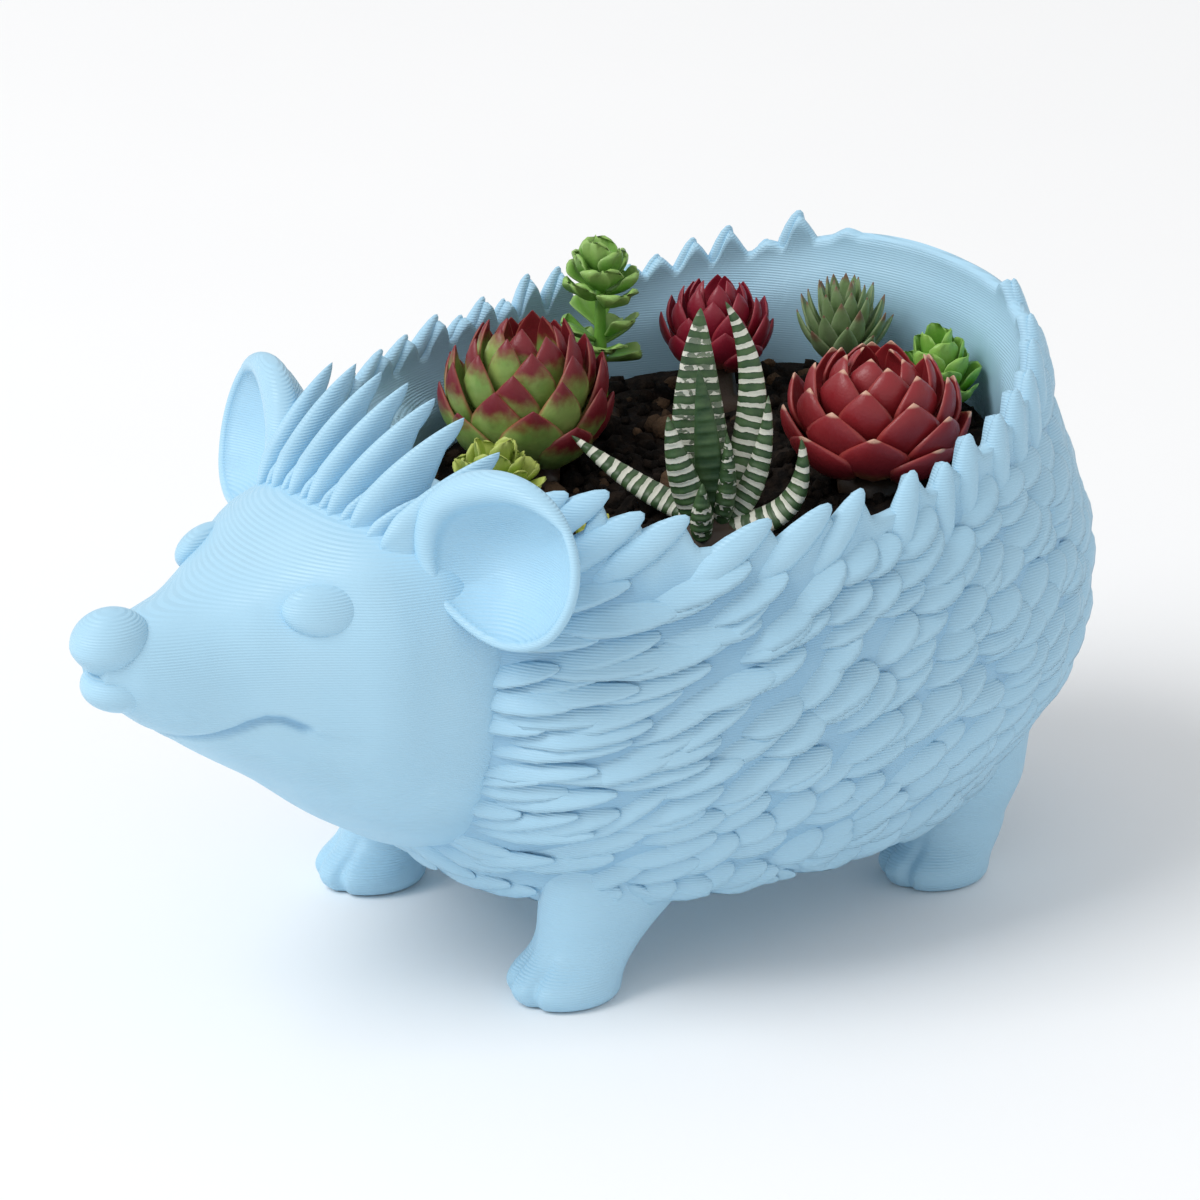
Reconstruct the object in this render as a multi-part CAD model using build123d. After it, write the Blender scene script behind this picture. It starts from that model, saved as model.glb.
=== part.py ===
from build123d import *
from math import copysign, cos, pi, prod, radians, sin, sqrt, tan
import os

# A printed hedgehog planter on four paws, with gravel, a root-bound block of soil and succulents.
# Millimetres, +Z up, the snout towards -Y. The origin is on the floor under the middle of the object.

# Trunk of the animal: levels are measured up from the belly, insets in from the trunk's two ends
leg_clearance = 12.3
trunk_length = 104.5
snout_reach = 35.5
widest_share = 0.5
belly_width = 62.0
belly_front_inset = 11.0
belly_rear_inset = 17.5
flank_height = 21.5
flank_width = 84.0
shoulder_height = 37.5
shoulder_width = 82.0
shoulder_rear_inset = 2.6
brim_height = 64.0
brim_width = 74.0
brim_front_inset = 4.5
brim_rear_inset = 10.5
belly_fullness = 2.4
flank_fullness = 2.5
shoulder_fullness = 2.25
brim_fullness = 2.01
rump_fullness = 2.2

# Coat: rows of main quills up each flank that point back and up; the flank's width is over their crests
coat_depth = 1.2
coat_rows = 5
coat_first_row = 8.0
coat_row_step = 8.0
coat_count = 9
coat_start = -45.0
coat_step = 12.5
coat_reach = 15.0
coat_climb = 4.0
coat_width = 4.6
coat_thickness = 2.2

# Rim: level at the front, then a sweep up to the rump, with quill tips standing along both flanks
rim_height = 45.5
rim_rise = 13.8
rim_sweep_start = 32.5
rim_sweep_power = 1.75
tip_count = 13
tip_rise = 4.6
tip_lean = 0.6
tip_width = 0.2
tip_start = 15.0
tip_end = 17.0

# Hollow for the plants: its front wall is thick enough for the soil to lift past the fringe
wall = 2.4
front_wall = 16.9
floor_thickness = 3.0
hollow_draft = 0.6

# Head: each station is a reach ahead of the trunk's front, a drop below the rim, and an oval that rises
# above and falls below its widest line; a fullness over 2 squares off its crown
neck_reach = -13.0
neck_drop = 18.2
neck_width = 44.8
neck_rise = 21.0
neck_fall = 24.8
neck_fullness = 2.6
cheek_reach = -4.0
cheek_drop = 17.6
cheek_width = 44.8
cheek_rise = 21.8
cheek_fall = 23.4
cheek_fullness = 3.0
brow_reach = 5.0
brow_drop = 16.6
brow_width = 40.0
brow_rise = 18.6
brow_fall = 18.6
brow_fullness = 3.0
muzzle_reach = 20.0
muzzle_drop = 14.4
muzzle_width = 20.0
muzzle_rise = 10.4
muzzle_fall = 9.3
muzzle_fullness = 2.3
chin_reach = 27.0
chin_drop = 12.2
chin_width = 14.0
chin_rise = 6.9
chin_fall = 6.1
chin_fullness = 2.1
lip_reach = 31.5
lip_drop = 10.4
lip_width = 8.0
lip_rise = 3.7
lip_fall = 3.5
lip_fullness = 2.0
nose_radius = 4.2
nose_drop = 7.5
eye_radius = 3.8
eye_spacing = 24.6
eye_reach = 9.4
eye_drop = 5.0

# Ears: shallow round cups turned outwards and a little up
ear_radius = 11.4
ear_depth = 4.6
ear_wall = 2.2
ear_spacing = 49.0
ear_inset = 5.5
ear_rise = 1.8
ear_turn = 18.0
ear_tilt = 14.0

# Fringe of long quills over the brow
fringe_count = 9
fringe_span = 30.0
fringe_spread = 1.15
fringe_reach = 3.0
fringe_sweep = 15.0
fringe_tip_rise = 13.0
fringe_tip_fall = 2.5
fringe_root_radius = 3.0
fringe_tip_radius = 1.2

# Legs and paws
foot_track = 40.4
front_foot_inset = 19.7
rear_foot_inset = 28.2
sole_width = 12.0
sole_length = 13.0
ankle_height = 8.0
ankle_width = 10.5
ankle_length = 11.0
thigh_width = 15.0
thigh_length = 19.0
thigh_set_back = 6.5
thigh_embed = 7.0
toe_radius = 3.7
toe_height = 3.0
toe_pitch = 3.7
toe_ahead = 4.6

# Filling
gravel_depth = 8.0
soil_headspace = 11.1
soil_slope = 6.0
fit_gap = 0.3
lump_count = 30
lump_radius = 4.0
lump_rise = 1.1
lump_spread = 0.8

# Planting: tapered plugs of root that lift out of sockets in the soil, each with a crown of leaves
plug_depth = 12.0
plug_taper = 0.7
collar = 1.4
large_plug_radius = 4.5
small_plug_radius = 2.6
leaf_widest = 0.62
leaf_root_share = 0.15
leaf_ring_step = 0.1
heart_share = 0.4
heart_rise = 0.3
large_leek_radius = 11.6
red_leek_radius = 11.5
small_leek_radius = 7.2
spiky_leek_radius = 5.8
pale_rosette_radius = 5.0
rear_rosette_radius = 4.7
sprig_height = 24.0
sprig_radius = 4.0
sprig_stem_radius = 1.1
sprig_tuft_height = 8.8
zebra_leaf_radius = 2.1
zebra_tip_radius = 0.35
zebra_heart_radius = 2.7
zebra_heart_rise = 2.2
stonecrop_radius = 4.4

# Rings of leaves as count, reach in crown radii and rise as a share of the crown's height
leek_rings = [(8, 0.98, 0.28), (8, 0.92, 0.58), (6, 0.66, 0.84), (4, 0.3, 1.0)]
sprig_rings = [(5, 0.98, 0.15), (5, 0.98, 0.6), (4, 0.6, 1.0)]
stonecrop_rings = [(7, 0.98, 0.43), (6, 0.8, 0.79), (4, 0.4, 1.0)]

# Leaves of the haworthia as turn, lean from upright and length
zebra_fan = [(158, 16, 23), (135, 19.5, 25), (211, 8, 17), (261, 30, 13),
             (310, 55, 6), (90, 34, 14), (74, 65, 10.5), (207, 74, 18)]

# Levels and stations worked out from the sizes above
overall_length = snout_reach + trunk_length
trunk_front = snout_reach - overall_length / 2
trunk_rear = overall_length / 2
widest_y = trunk_front + widest_share * trunk_length
belly_z = leg_clearance
rim_z = belly_z + rim_height
brim_z = belly_z + brim_height
knee_z = belly_z + flank_height
floor_z = belly_z + floor_thickness
gravel_z = floor_z + gravel_depth
nose_y = -overall_length / 2 + nose_radius
golden_turn = pi * (3 - sqrt(5))


def full_arc(half_width, reach, fullness):
    """Half of a squared-off oval round the origin, from +X over +Y to -X."""
    turns = [pi * number / 8 for number in range(9)]
    across = [half_width * copysign(abs(cos(turn)) ** (2 / fullness), cos(turn)) for turn in turns]
    points = [(x, reach * abs(sin(turn)) ** (2 / fullness)) for x, turn in zip(across, turns)]
    return Spline(*points, tangents=[(0, 1), (0, -1)])


def egg(half_width, front, rear, z, fullness=2.0, rear_fullness=2.0):
    """Level outline: half an oval to the rear and half an oval to the front, joined at the widest line."""
    middle = (0, widest_y)
    if rear_fullness > 2.0:
        rear_half = Pos(0, widest_y) * full_arc(half_width, rear - widest_y, rear_fullness)
    else:
        rear_half = EllipticalCenterArc(middle, half_width, rear - widest_y, 0, arc_size=180)
    if fullness > 2.0:
        front_half = Pos(0, widest_y) * Rot(Z=180) * full_arc(half_width, widest_y - front, fullness)
    else:
        front_half = EllipticalCenterArc(middle, half_width, widest_y - front, 180, arc_size=180)
    return Pos(0, 0, z) * make_face([rear_half, front_half])


# Trunk levels as half width, front, rear, height and fullness of the front half
belly_half, flank_half = belly_width / 2, flank_width / 2 - coat_depth
shoulder_half, brim_half = shoulder_width / 2 - coat_depth, brim_width / 2
shoulder_rear, shoulder_z = trunk_rear - shoulder_rear_inset, belly_z + shoulder_height
belly = (belly_half, trunk_front + belly_front_inset, trunk_rear - belly_rear_inset, belly_z, belly_fullness)
flank = (flank_half, trunk_front, trunk_rear, knee_z, flank_fullness)
shoulder = (shoulder_half, trunk_front, shoulder_rear, shoulder_z, shoulder_fullness)
brim = (brim_half, trunk_front + brim_front_inset, trunk_rear - brim_rear_inset, brim_z, brim_fullness)
trunk_levels = [belly, flank, shoulder, brim]

# Hollow levels, inside the trunk by the wall and never wider below than above
hollow_brim = (brim_half - wall, trunk_front + front_wall, brim[2] - wall, brim_z)
knee_front, knee_rear = hollow_brim[1] + hollow_draft, hollow_brim[2] - hollow_draft
hollow_knee = (hollow_brim[0] - hollow_draft, knee_front, knee_rear, knee_z)
hollow_floor = (belly_half - wall, hollow_knee[1] + 2 * wall, belly[2] - wall, floor_z)


def hollow_at(z, gap):
    """Outline of the hollow at a height, drawn in by a gap."""
    low, high = (hollow_floor, hollow_knee) if z < knee_z else (hollow_knee, hollow_brim)
    share = (z - low[3]) / (high[3] - low[3])
    half, front, rear = (a + share * (b - a) for a, b in zip(low[:3], high[:3]))
    return (half - gap, front + gap, rear - gap, z)


def soil_top(y):
    """Height of the soil, which is banked up towards the rump."""
    return rim_z - soil_headspace + (y - hollow_brim[1]) * tan(radians(soil_slope))


def axis_plane(foot, along):
    """Plane at a point with its normal along a direction."""
    return Plane(origin=foot, z_dir=along)


def quill(foot, along, length, root_radius, tip_radius):
    """Tapered quill with a round tip."""
    frame = axis_plane(foot, along)
    shank = Cone(root_radius, tip_radius, length, align=(Align.CENTER, Align.CENTER, Align.MIN))
    return frame * (shank + Pos(0, 0, length) * Sphere(tip_radius))


def leaf(root, tip, width, thickness):
    """Pointed leaf: a four-sided spindle, widest past its middle."""
    root, tip = Vector(*root), Vector(*tip)
    along = tip - root
    side = Vector(0, 0, 1).cross(along)
    frame = Plane(origin=root + along * leaf_widest, x_dir=side, z_dir=along)
    outline = Polygon((width / 2, 0), (0, thickness / 2), (-width / 2, 0), (0, -thickness / 2), align=None)
    return loft([Vertex(root), frame * outline, Vertex(tip)], ruled=True)


def trunk_skin(turn, z, out):
    """Point on the trunk at a turn back from its widest line, moved out by a distance.

    The sizes of the outline at that height lie on the cubic through the four levels.
    """
    heights = [level[3] for level in trunk_levels]
    sizes = []
    for column in (0, 1, 2, 4):
        shares = [prod((z - b) / (a - b) for b in heights if b != a) for a in heights]
        sizes.append(sum(share * level[column] for share, level in zip(shares, trunk_levels)))
    half_width, front, rear, fullness = sizes
    power = 2 / (rump_fullness if turn > 0 else fullness)
    reach = rear - widest_y if turn > 0 else front - widest_y
    x, y = half_width * cos(turn) ** power, reach * abs(sin(turn)) ** power
    size = sqrt(x ** 2 + y ** 2)
    return (x * (1 + out / size), widest_y + y * (1 + out / size), z)


def make_trunk():
    """Solid outer form of the trunk with its main quills, before the hollow and the rim are cut."""
    quills = []
    for row in range(coat_rows):
        z = belly_z + coat_first_row + row * coat_row_step
        for number in range(coat_count):
            turn = radians(coat_start + coat_step * (number + row % 2 / 2))
            root = trunk_skin(turn, z, -coat_depth)
            tip = trunk_skin(turn + radians(coat_reach), z + coat_climb, coat_depth)
            near = leaf(root, tip, coat_thickness, coat_width)
            quills += [near, mirror(near, about=Plane.YZ)]
    return loft([egg(*level, rump_fullness) for level in trunk_levels]) + quills


def rim_level(y):
    """Height of the rim between its tips, at a station along the animal."""
    start = trunk_front + rim_sweep_start
    return rim_z + rim_rise * (max(0.0, y - start) / (trunk_rear - start)) ** rim_sweep_power


def rim_outline():
    """Side view of the rim: level at the head, leaning tips along the flanks, plain round the rump."""
    start, end = trunk_front + tip_start, trunk_rear - tip_end
    pitch = (end - start) / tip_count
    points = [(trunk_front - wall, rim_z)]
    for number in range(tip_count):
        valley = start + number * pitch
        top = rim_level(valley) + tip_rise
        points += [(valley, rim_level(valley)), (valley + tip_lean * pitch, top)]
        points += [(valley + (tip_lean + tip_width) * pitch, top)]
    return points + [(end, rim_level(end)), (trunk_rear + wall, rim_level(trunk_rear + wall))]


def make_pot(trunk):
    """Trunk with the drafted hollow, cut off along the rim."""
    hollow = loft([egg(*level) for level in (hollow_floor, hollow_knee, hollow_brim)], ruled=True)
    top = brim_z + wall
    corners = [(trunk_rear + wall, top), (trunk_front - wall, top)]
    side_view = Plane(origin=(0, 0, 0), x_dir=(0, 1, 0), z_dir=(1, 0, 0))
    above = side_view * make_face(Polyline(*rim_outline(), *corners, close=True))
    return trunk - hollow - extrude(above, flank_width, both=True)


def head_section(reach, drop, width, rise, fall, fullness):
    """Upright oval across the head, at a reach ahead of the trunk."""
    frame = Plane(origin=(0, trunk_front - reach, rim_z - drop), x_dir=(1, 0, 0), z_dir=(0, -1, 0))
    crown = full_arc(width / 2, rise, fullness)
    jaw = EllipticalCenterArc((0, 0), width / 2, fall, 180, arc_size=180)
    return frame * make_face([crown, jaw])


def make_head(pot):
    """Head from neck to lip, with the nose and the two closed eyes, fitted to the front of the pot."""
    stations = [
        head_section(neck_reach, neck_drop, neck_width, neck_rise, neck_fall, neck_fullness),
        head_section(cheek_reach, cheek_drop, cheek_width, cheek_rise, cheek_fall, cheek_fullness),
        head_section(brow_reach, brow_drop, brow_width, brow_rise, brow_fall, brow_fullness),
        head_section(muzzle_reach, muzzle_drop, muzzle_width, muzzle_rise, muzzle_fall, muzzle_fullness),
        head_section(chin_reach, chin_drop, chin_width, chin_rise, chin_fall, chin_fullness),
        head_section(lip_reach, lip_drop, lip_width, lip_rise, lip_fall, lip_fullness),
    ]
    skull = loft(stations) + Pos(0, nose_y, rim_z - nose_drop) * Sphere(nose_radius)
    for side in (-1, 1):
        skull += Pos(side * eye_spacing / 2, trunk_front - eye_reach, rim_z - eye_drop) * Sphere(eye_radius)
    return skull - pot


def cap_arc(radius, sag, base):
    """Arc from the axis out to a radius, part of a circle centred on the axis."""
    bend = (radius ** 2 + sag ** 2) / (2 * sag)
    half = radius / bend / 2
    return ThreePointArc((0, base), (bend * sin(half), base + bend * (1 - cos(half))), (radius, base + sag))


def make_ear(side, pot, head):
    """Shallow round cup with a rolled lip, turned outwards and tilted up, fitted to the head and the pot."""
    inner_radius = ear_radius - ear_wall
    back = cap_arc(ear_radius, ear_depth, 0)
    lip_top = (ear_radius - ear_wall / 2, ear_depth + ear_wall / 2)
    lip = ThreePointArc(back @ 1, lip_top, (inner_radius, ear_depth))
    front = cap_arc(inner_radius, ear_depth - ear_wall, ear_wall)
    axis = Line(front @ 0, back @ 0)
    cup = revolve(Plane.XZ * make_face([back, lip, front, axis]), Axis.Z)
    turn, tilt = radians(ear_turn), radians(ear_tilt)
    facing = Vector(side * sin(turn) * cos(tilt), -cos(turn) * cos(tilt), sin(tilt))
    centre = Vector(side * ear_spacing / 2, trunk_front + ear_inset, rim_z + ear_rise)
    return axis_plane(centre - facing * ear_depth, facing) * cup - pot - head


def make_fringe(pot, head, ears):
    """Row of long quills swept back and up from the brow, rooted along the head's oval."""
    share = (fringe_reach - cheek_reach) / (brow_reach - cheek_reach)
    half_width = (cheek_width + share * (brow_width - cheek_width)) / 2
    rise = cheek_rise + share * (brow_rise - cheek_rise)
    middle_z = rim_z - cheek_drop - share * (brow_drop - cheek_drop)
    row = []
    for number in range(fringe_count):
        across = 2 * number / (fringe_count - 1) - 1
        x = across * fringe_span / 2
        crown_z = middle_z + rise * (1 - abs(x / half_width) ** brow_fullness) ** (1 / brow_fullness)
        foot = Vector(x, trunk_front - fringe_reach, crown_z - fringe_root_radius / 2)
        tip_z = rim_z + fringe_tip_rise - fringe_tip_fall * across ** 2
        reach = Vector(x * fringe_spread, trunk_front - fringe_reach + fringe_sweep, tip_z) - foot
        row.append(quill(foot, reach, reach.length, fringe_root_radius, fringe_tip_radius))
    return Part() + row - pot - head - ears[0] - ears[1]


def make_leg(side, foot_y, trunk):
    """Leg that tapers from the belly to the ankle, on a flat paw with three toes."""
    x = side * foot_track / 2
    sole = Pos(x, foot_y, 0) * Ellipse(sole_width / 2, sole_length / 2)
    ankle = Pos(x, foot_y + thigh_set_back / 3, ankle_height) * Ellipse(ankle_width / 2, ankle_length / 2)
    thigh_z = belly_z + thigh_embed
    thigh = Pos(x, foot_y + thigh_set_back, thigh_z) * Ellipse(thigh_width / 2, thigh_length / 2)
    leg = loft([sole, ankle, thigh])
    for toe in (-1, 0, 1):
        leg += Pos(x + toe * toe_pitch, foot_y - toe_ahead + abs(toe), toe_height) * Sphere(toe_radius)
    below = Pos(x, foot_y, 0) * Box(foot_track / 2, sole_length * 3, toe_radius * 2,
                                    align=(Align.CENTER, Align.CENTER, Align.MAX))
    return leg - below - trunk


def make_filling(low, high, gap):
    """Block that fills the hollow between two heights, drawn in by a gap."""
    heights = [low] + ([knee_z] if low < knee_z < high else []) + [high]
    return loft([egg(*hollow_at(z, gap)) for z in heights], ruled=True)


def plug(radius, gap):
    """Tapered plug of root from its foot up to its collar, or the socket for it when there is a gap."""
    height = plug_depth + collar + 2 * gap
    taper = Cone(radius * plug_taper + gap, radius + gap, height,
                 align=(Align.CENTER, Align.CENTER, Align.MIN))
    return Pos(0, 0, -plug_depth - gap) * taper


def rosette(radius, top_rise, rings, width, thickness, floor=collar):
    """Rings of leaves round a heart; the rise, width and thickness are in crown radii."""
    leaves = []
    for ring, (count, reach, share) in enumerate(rings):
        root_radius, tip_radius = radius * leaf_root_share, radius * reach
        for number in range(count):
            turn = 2 * pi * (number + ring / 2) / count
            root = (root_radius * cos(turn), root_radius * sin(turn), floor + radius * leaf_ring_step * ring)
            tip = (tip_radius * cos(turn), tip_radius * sin(turn), floor + radius * top_rise * share)
            leaves.append(leaf(root, tip, width * radius, thickness * radius))
    heart = Pos(0, 0, floor + radius * heart_rise) * Sphere(radius * heart_share)
    return Part() + ([heart] + leaves)


def neck(radius, lift):
    """Short stem from the soil up to the heart of a crown that stands on it."""
    height = collar + lift + radius * heart_rise
    return Cylinder(small_plug_radius * plug_taper, height, align=(Align.CENTER, Align.CENTER, Align.MIN))


def globe_leek(radius, top_rise, lift):
    """Houseleek: a globe of broad pointed leaves that close over the heart, lifted on a short neck."""
    crown = rosette(radius, top_rise, leek_rings, width=0.66, thickness=0.2, floor=collar + lift)
    return plug(large_plug_radius, 0) + neck(radius, lift) + crown


def small_rosette(radius, top_rise, count, width, lift):
    """Low rosette of two open rings round a bud, lifted on a short neck."""
    rings = [(count, 0.98, 0.45), (count, 0.8, 0.8), (4, 0.35, 1.0)]
    crown = rosette(radius, top_rise, rings, width, thickness=0.2, floor=collar + lift)
    return plug(small_plug_radius, 0) + neck(radius, lift) + crown


def sprig():
    """Upright stem with a tuft of leaves at its top."""
    tuft_z = sprig_height - sprig_tuft_height
    stem = Cylinder(sprig_stem_radius, tuft_z + sprig_radius, align=(Align.CENTER, Align.CENTER, Align.MIN))
    tuft = rosette(sprig_radius, 2.0, sprig_rings, width=0.9, thickness=0.25, floor=tuft_z)
    return plug(small_plug_radius, 0) + stem + tuft


def zebra_leaves():
    """Haworthia: thick tapering leaves, most of them upright."""
    heart_z = collar + zebra_heart_rise
    shape = plug(large_plug_radius, 0) + Pos(0, 0, heart_z) * Sphere(zebra_heart_radius)
    for turn, lean, length in zebra_fan:
        turn, lean = radians(turn), radians(lean)
        along = Vector(sin(lean) * cos(turn), sin(lean) * sin(turn), cos(lean))
        shape += quill((0, 0, heart_z), along, length, zebra_leaf_radius, zebra_tip_radius)
    return shape


def stonecrop():
    """Low clump of short leafy shoots on one root."""
    clump = rosette(stonecrop_radius, 1.4, stonecrop_rings, width=0.5, thickness=0.3)
    return plug(small_plug_radius, 0) + clump


def planting():
    """Each plant's name, place across and along the hollow, plug and solid on the soil at the origin."""
    return [
        ("green_houseleek", -0.503, -0.376, large_plug_radius, globe_leek(large_leek_radius, 1.6, 1.0)),
        ("red_houseleek", 0.422, 0.39, large_plug_radius, globe_leek(red_leek_radius, 1.3, 0.0)),
        ("small_red_houseleek", -0.549, 0.435, large_plug_radius, globe_leek(small_leek_radius, 1.6, 3.0)),
        ("spiky_houseleek", -0.237, 0.743, small_plug_radius,
         small_rosette(spiky_leek_radius, 1.8, 9, 0.4, 3.6)),
        ("pale_rosette", -0.173, -0.722, small_plug_radius,
         small_rosette(pale_rosette_radius, 1.5, 6, 0.8, 2.6)),
        ("rear_rosette", 0.197, 0.788, small_plug_radius,
         small_rosette(rear_rosette_radius, 1.7, 6, 0.8, 1.0)),
        ("leafy_sprig", -0.72, 0.074, small_plug_radius, sprig()),
        ("zebra_haworthia", 0.347, -0.2075, large_plug_radius, zebra_leaves()),
        ("stonecrop", 0.3, -0.61, small_plug_radius, stonecrop()),
    ]


def make_soil():
    """Root-bound block of soil on the gravel, with lumps on a top that is banked towards the rump."""
    block = make_filling(gravel_z, brim_z, fit_gap)
    bank = Pos(0, hollow_brim[1], soil_top(hollow_brim[1])) * Rot(X=soil_slope)
    above = bank * Box(2 * flank_width, 4 * trunk_length, 2 * brim_height,
                       align=(Align.CENTER, Align.CENTER, Align.MIN))
    lumps = []
    for number in range(lump_count):
        turn, share = number * golden_turn, lump_spread * sqrt((number + 0.5) / lump_count)
        reach = hollow_brim[2] - widest_y if sin(turn) > 0 else widest_y - hollow_brim[1]
        x, y = share * hollow_brim[0] * cos(turn), widest_y + share * reach * sin(turn)
        lumps.append(Pos(x, y, soil_top(y) + lump_rise - lump_radius) * Sphere(lump_radius))
    return block - above + lumps


def main():
    os.makedirs("parts", exist_ok=True)
    trunk = make_trunk()
    pot = make_pot(trunk)
    head = make_head(pot)
    ears = [make_ear(side, pot, head) for side in (1, -1)]
    nodes = {
        "pot_bowl": pot,
        "head": head,
        "left_ear": ears[0],
        "right_ear": ears[1],
        "brow_fringe": make_fringe(pot, head, ears),
        "front_left_leg": make_leg(1, trunk_front + front_foot_inset, trunk),
        "front_right_leg": make_leg(-1, trunk_front + front_foot_inset, trunk),
        "rear_left_leg": make_leg(1, trunk_rear - rear_foot_inset, trunk),
        "rear_right_leg": make_leg(-1, trunk_rear - rear_foot_inset, trunk),
        "drainage_gravel": make_filling(floor_z, gravel_z, fit_gap),
    }
    soil = make_soil()
    half_width = hollow_brim[0]
    half_length = (hollow_brim[2] - hollow_brim[1]) / 2
    middle_y = (hollow_brim[2] + hollow_brim[1]) / 2
    for name, across, along, plug_radius, plant in planting():
        x = across * half_width
        y = middle_y + along * half_length
        spot = Pos(x, y, soil_top(y))
        nodes[name] = spot * plant
        soil -= spot * plug(plug_radius, fit_gap)
    nodes["potting_soil"] = soil
    for name, node in nodes.items():
        export_step(node, f"parts/{name}.step")
        print(name, len(node.solids()), round(node.volume))


main()
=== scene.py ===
# %% [markdown]
# A hedgehog planter, printed in pale blue plastic and planted with small succulents.
# The measured model gives every place and size. This lesson dresses it: each piece is a surface
# worked out as a grid of points, and it rides on the body that the measured model gives it.

# %% Load the measured model
import math

import bpy
import numpy as np
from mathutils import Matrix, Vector


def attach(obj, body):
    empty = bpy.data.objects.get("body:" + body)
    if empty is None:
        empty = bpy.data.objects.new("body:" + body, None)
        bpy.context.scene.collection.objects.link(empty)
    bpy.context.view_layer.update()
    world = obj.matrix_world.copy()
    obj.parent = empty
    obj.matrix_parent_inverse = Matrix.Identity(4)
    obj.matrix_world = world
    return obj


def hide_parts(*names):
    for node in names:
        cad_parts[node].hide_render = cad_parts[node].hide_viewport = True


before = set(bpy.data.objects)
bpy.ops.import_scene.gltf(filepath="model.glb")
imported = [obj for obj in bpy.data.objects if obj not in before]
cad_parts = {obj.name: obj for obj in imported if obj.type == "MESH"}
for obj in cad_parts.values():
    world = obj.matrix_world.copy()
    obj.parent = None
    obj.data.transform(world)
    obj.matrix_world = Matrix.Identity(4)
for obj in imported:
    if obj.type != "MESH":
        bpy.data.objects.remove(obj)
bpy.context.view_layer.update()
MM = 0.001

# %% [markdown]
# Almost every piece here is a closed skin: a stack of rings with a pole at each end, like a
# stocking. The rings could be extruded by hand, but as arrays they can follow any formula, and
# many copies of a leaf are worked out together. The volume of each copy tells which way its faces
# look, so a mirrored copy is turned the right way round.

# %% Skins made of rings
def skin(rings, start, end, **marks):
    """Closed skins. Ring i joins ring i + 1 by four-sided faces, and a fan closes each end to a pole.

    rings has the shape (copies, rings, points round, 3); start and end are (copies, 3).
    Each mark is one number per point, with the shape (copies, rings, points round).
    """
    copies, count, around, _ = rings.shape
    size = count * around + 2
    points = np.concatenate([rings.reshape(copies, -1, 3), start[:, None], end[:, None]], 1)
    i, j = np.meshgrid(np.arange(count - 1), np.arange(around), indexing="ij")
    k = (j + 1) % around
    quads = np.stack([i * around + j, i * around + k, (i + 1) * around + k, (i + 1) * around + j], -1)
    quads = quads.reshape(-1, 4)
    j = np.arange(around)
    k = (j + 1) % around
    last = (count - 1) * around
    fans = np.concatenate([
        np.stack([np.full(around, size - 2), k, j], -1),
        np.stack([np.full(around, size - 1), last + j, last + k], -1),
    ])
    triangles = np.concatenate([quads[:, [0, 1, 2]], quads[:, [0, 2, 3]], fans])
    corners = (points - points.mean(1, keepdims=True))[:, triangles]
    volume = np.einsum("ctx,ctx->c", corners[:, :, 0], np.cross(corners[:, :, 1], corners[:, :, 2]))
    offset = (np.arange(copies) * size)[:, None, None]
    inward = (volume < 0)[:, None, None]
    quads = np.where(inward, quads[None, :, ::-1], quads[None]) + offset
    fans = np.where(inward, fans[None, :, ::-1], fans[None]) + offset
    values = {}
    for name, value in marks.items():
        value = np.broadcast_to(value, (copies, count, around))
        ends = [value[:, :1].mean(2), value[:, -1:].mean(2)]
        values[name] = np.concatenate([value.reshape(copies, -1), *ends], 1).reshape(-1)
    return {"points": points.reshape(-1, 3), "quads": quads.reshape(-1, 4),
            "fans": fans.reshape(-1, 3), "marks": values}


def one_skin(rings, start=None, end=None, **marks):
    """A single skin; a pole that isn't given is the middle of its ring."""
    start = rings[0].mean(0) if start is None else np.asarray(start, float)
    end = rings[-1].mean(0) if end is None else np.asarray(end, float)
    return skin(rings[None], start[None], end[None], **{k: v[None] for k, v in marks.items()})


def make_piece(name, skins, finish, body, node):
    """Joins skins into one mesh in metres, with its marks as attributes, in place of a measured node."""
    offsets = np.cumsum([0] + [len(s["points"]) for s in skins[:-1]])
    points = np.concatenate([s["points"] for s in skins]) * MM
    faces = []
    for s, offset in zip(skins, offsets):
        faces += (s["quads"] + offset).tolist() + (s["fans"] + offset).tolist()
    mesh = bpy.data.meshes.new(name)
    mesh.from_pydata(points.tolist(), [], faces)
    mesh.polygons.foreach_set("use_smooth", np.ones(len(faces), bool))
    for mark in sorted({m for s in skins for m in s["marks"]}):
        blank = [s["marks"].get(mark, np.zeros(len(s["points"]))) for s in skins]
        attribute = mesh.attributes.new(mark, "FLOAT", "POINT")
        attribute.data.foreach_set("value", np.concatenate(blank).astype(np.float32))
    mesh.materials.append(finish)
    mesh.update()
    piece = bpy.data.objects.new(name, mesh)
    bpy.context.scene.collection.objects.link(piece)
    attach(piece, body)
    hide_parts(node)
    box = np.round(np.concatenate([points.min(0), points.max(0)]) / MM, 1)
    print(f"{name}: {len(points)} points, {len(faces)} faces, box {box.tolist()}")
    return piece


# %% [markdown]
# The camera stands where the photograph was taken from: to the animal's left front, looking down
# at it a little, through a long lens.

# %% Camera
CAMERA_TURN = math.radians(53.5)
CAMERA_LIFT = math.radians(22.2)
CAMERA_DISTANCE = 0.730
CAMERA_LENS = 181.8
LOOK_AT = Vector((0.0, 0.0040, 0.0388))

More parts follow.
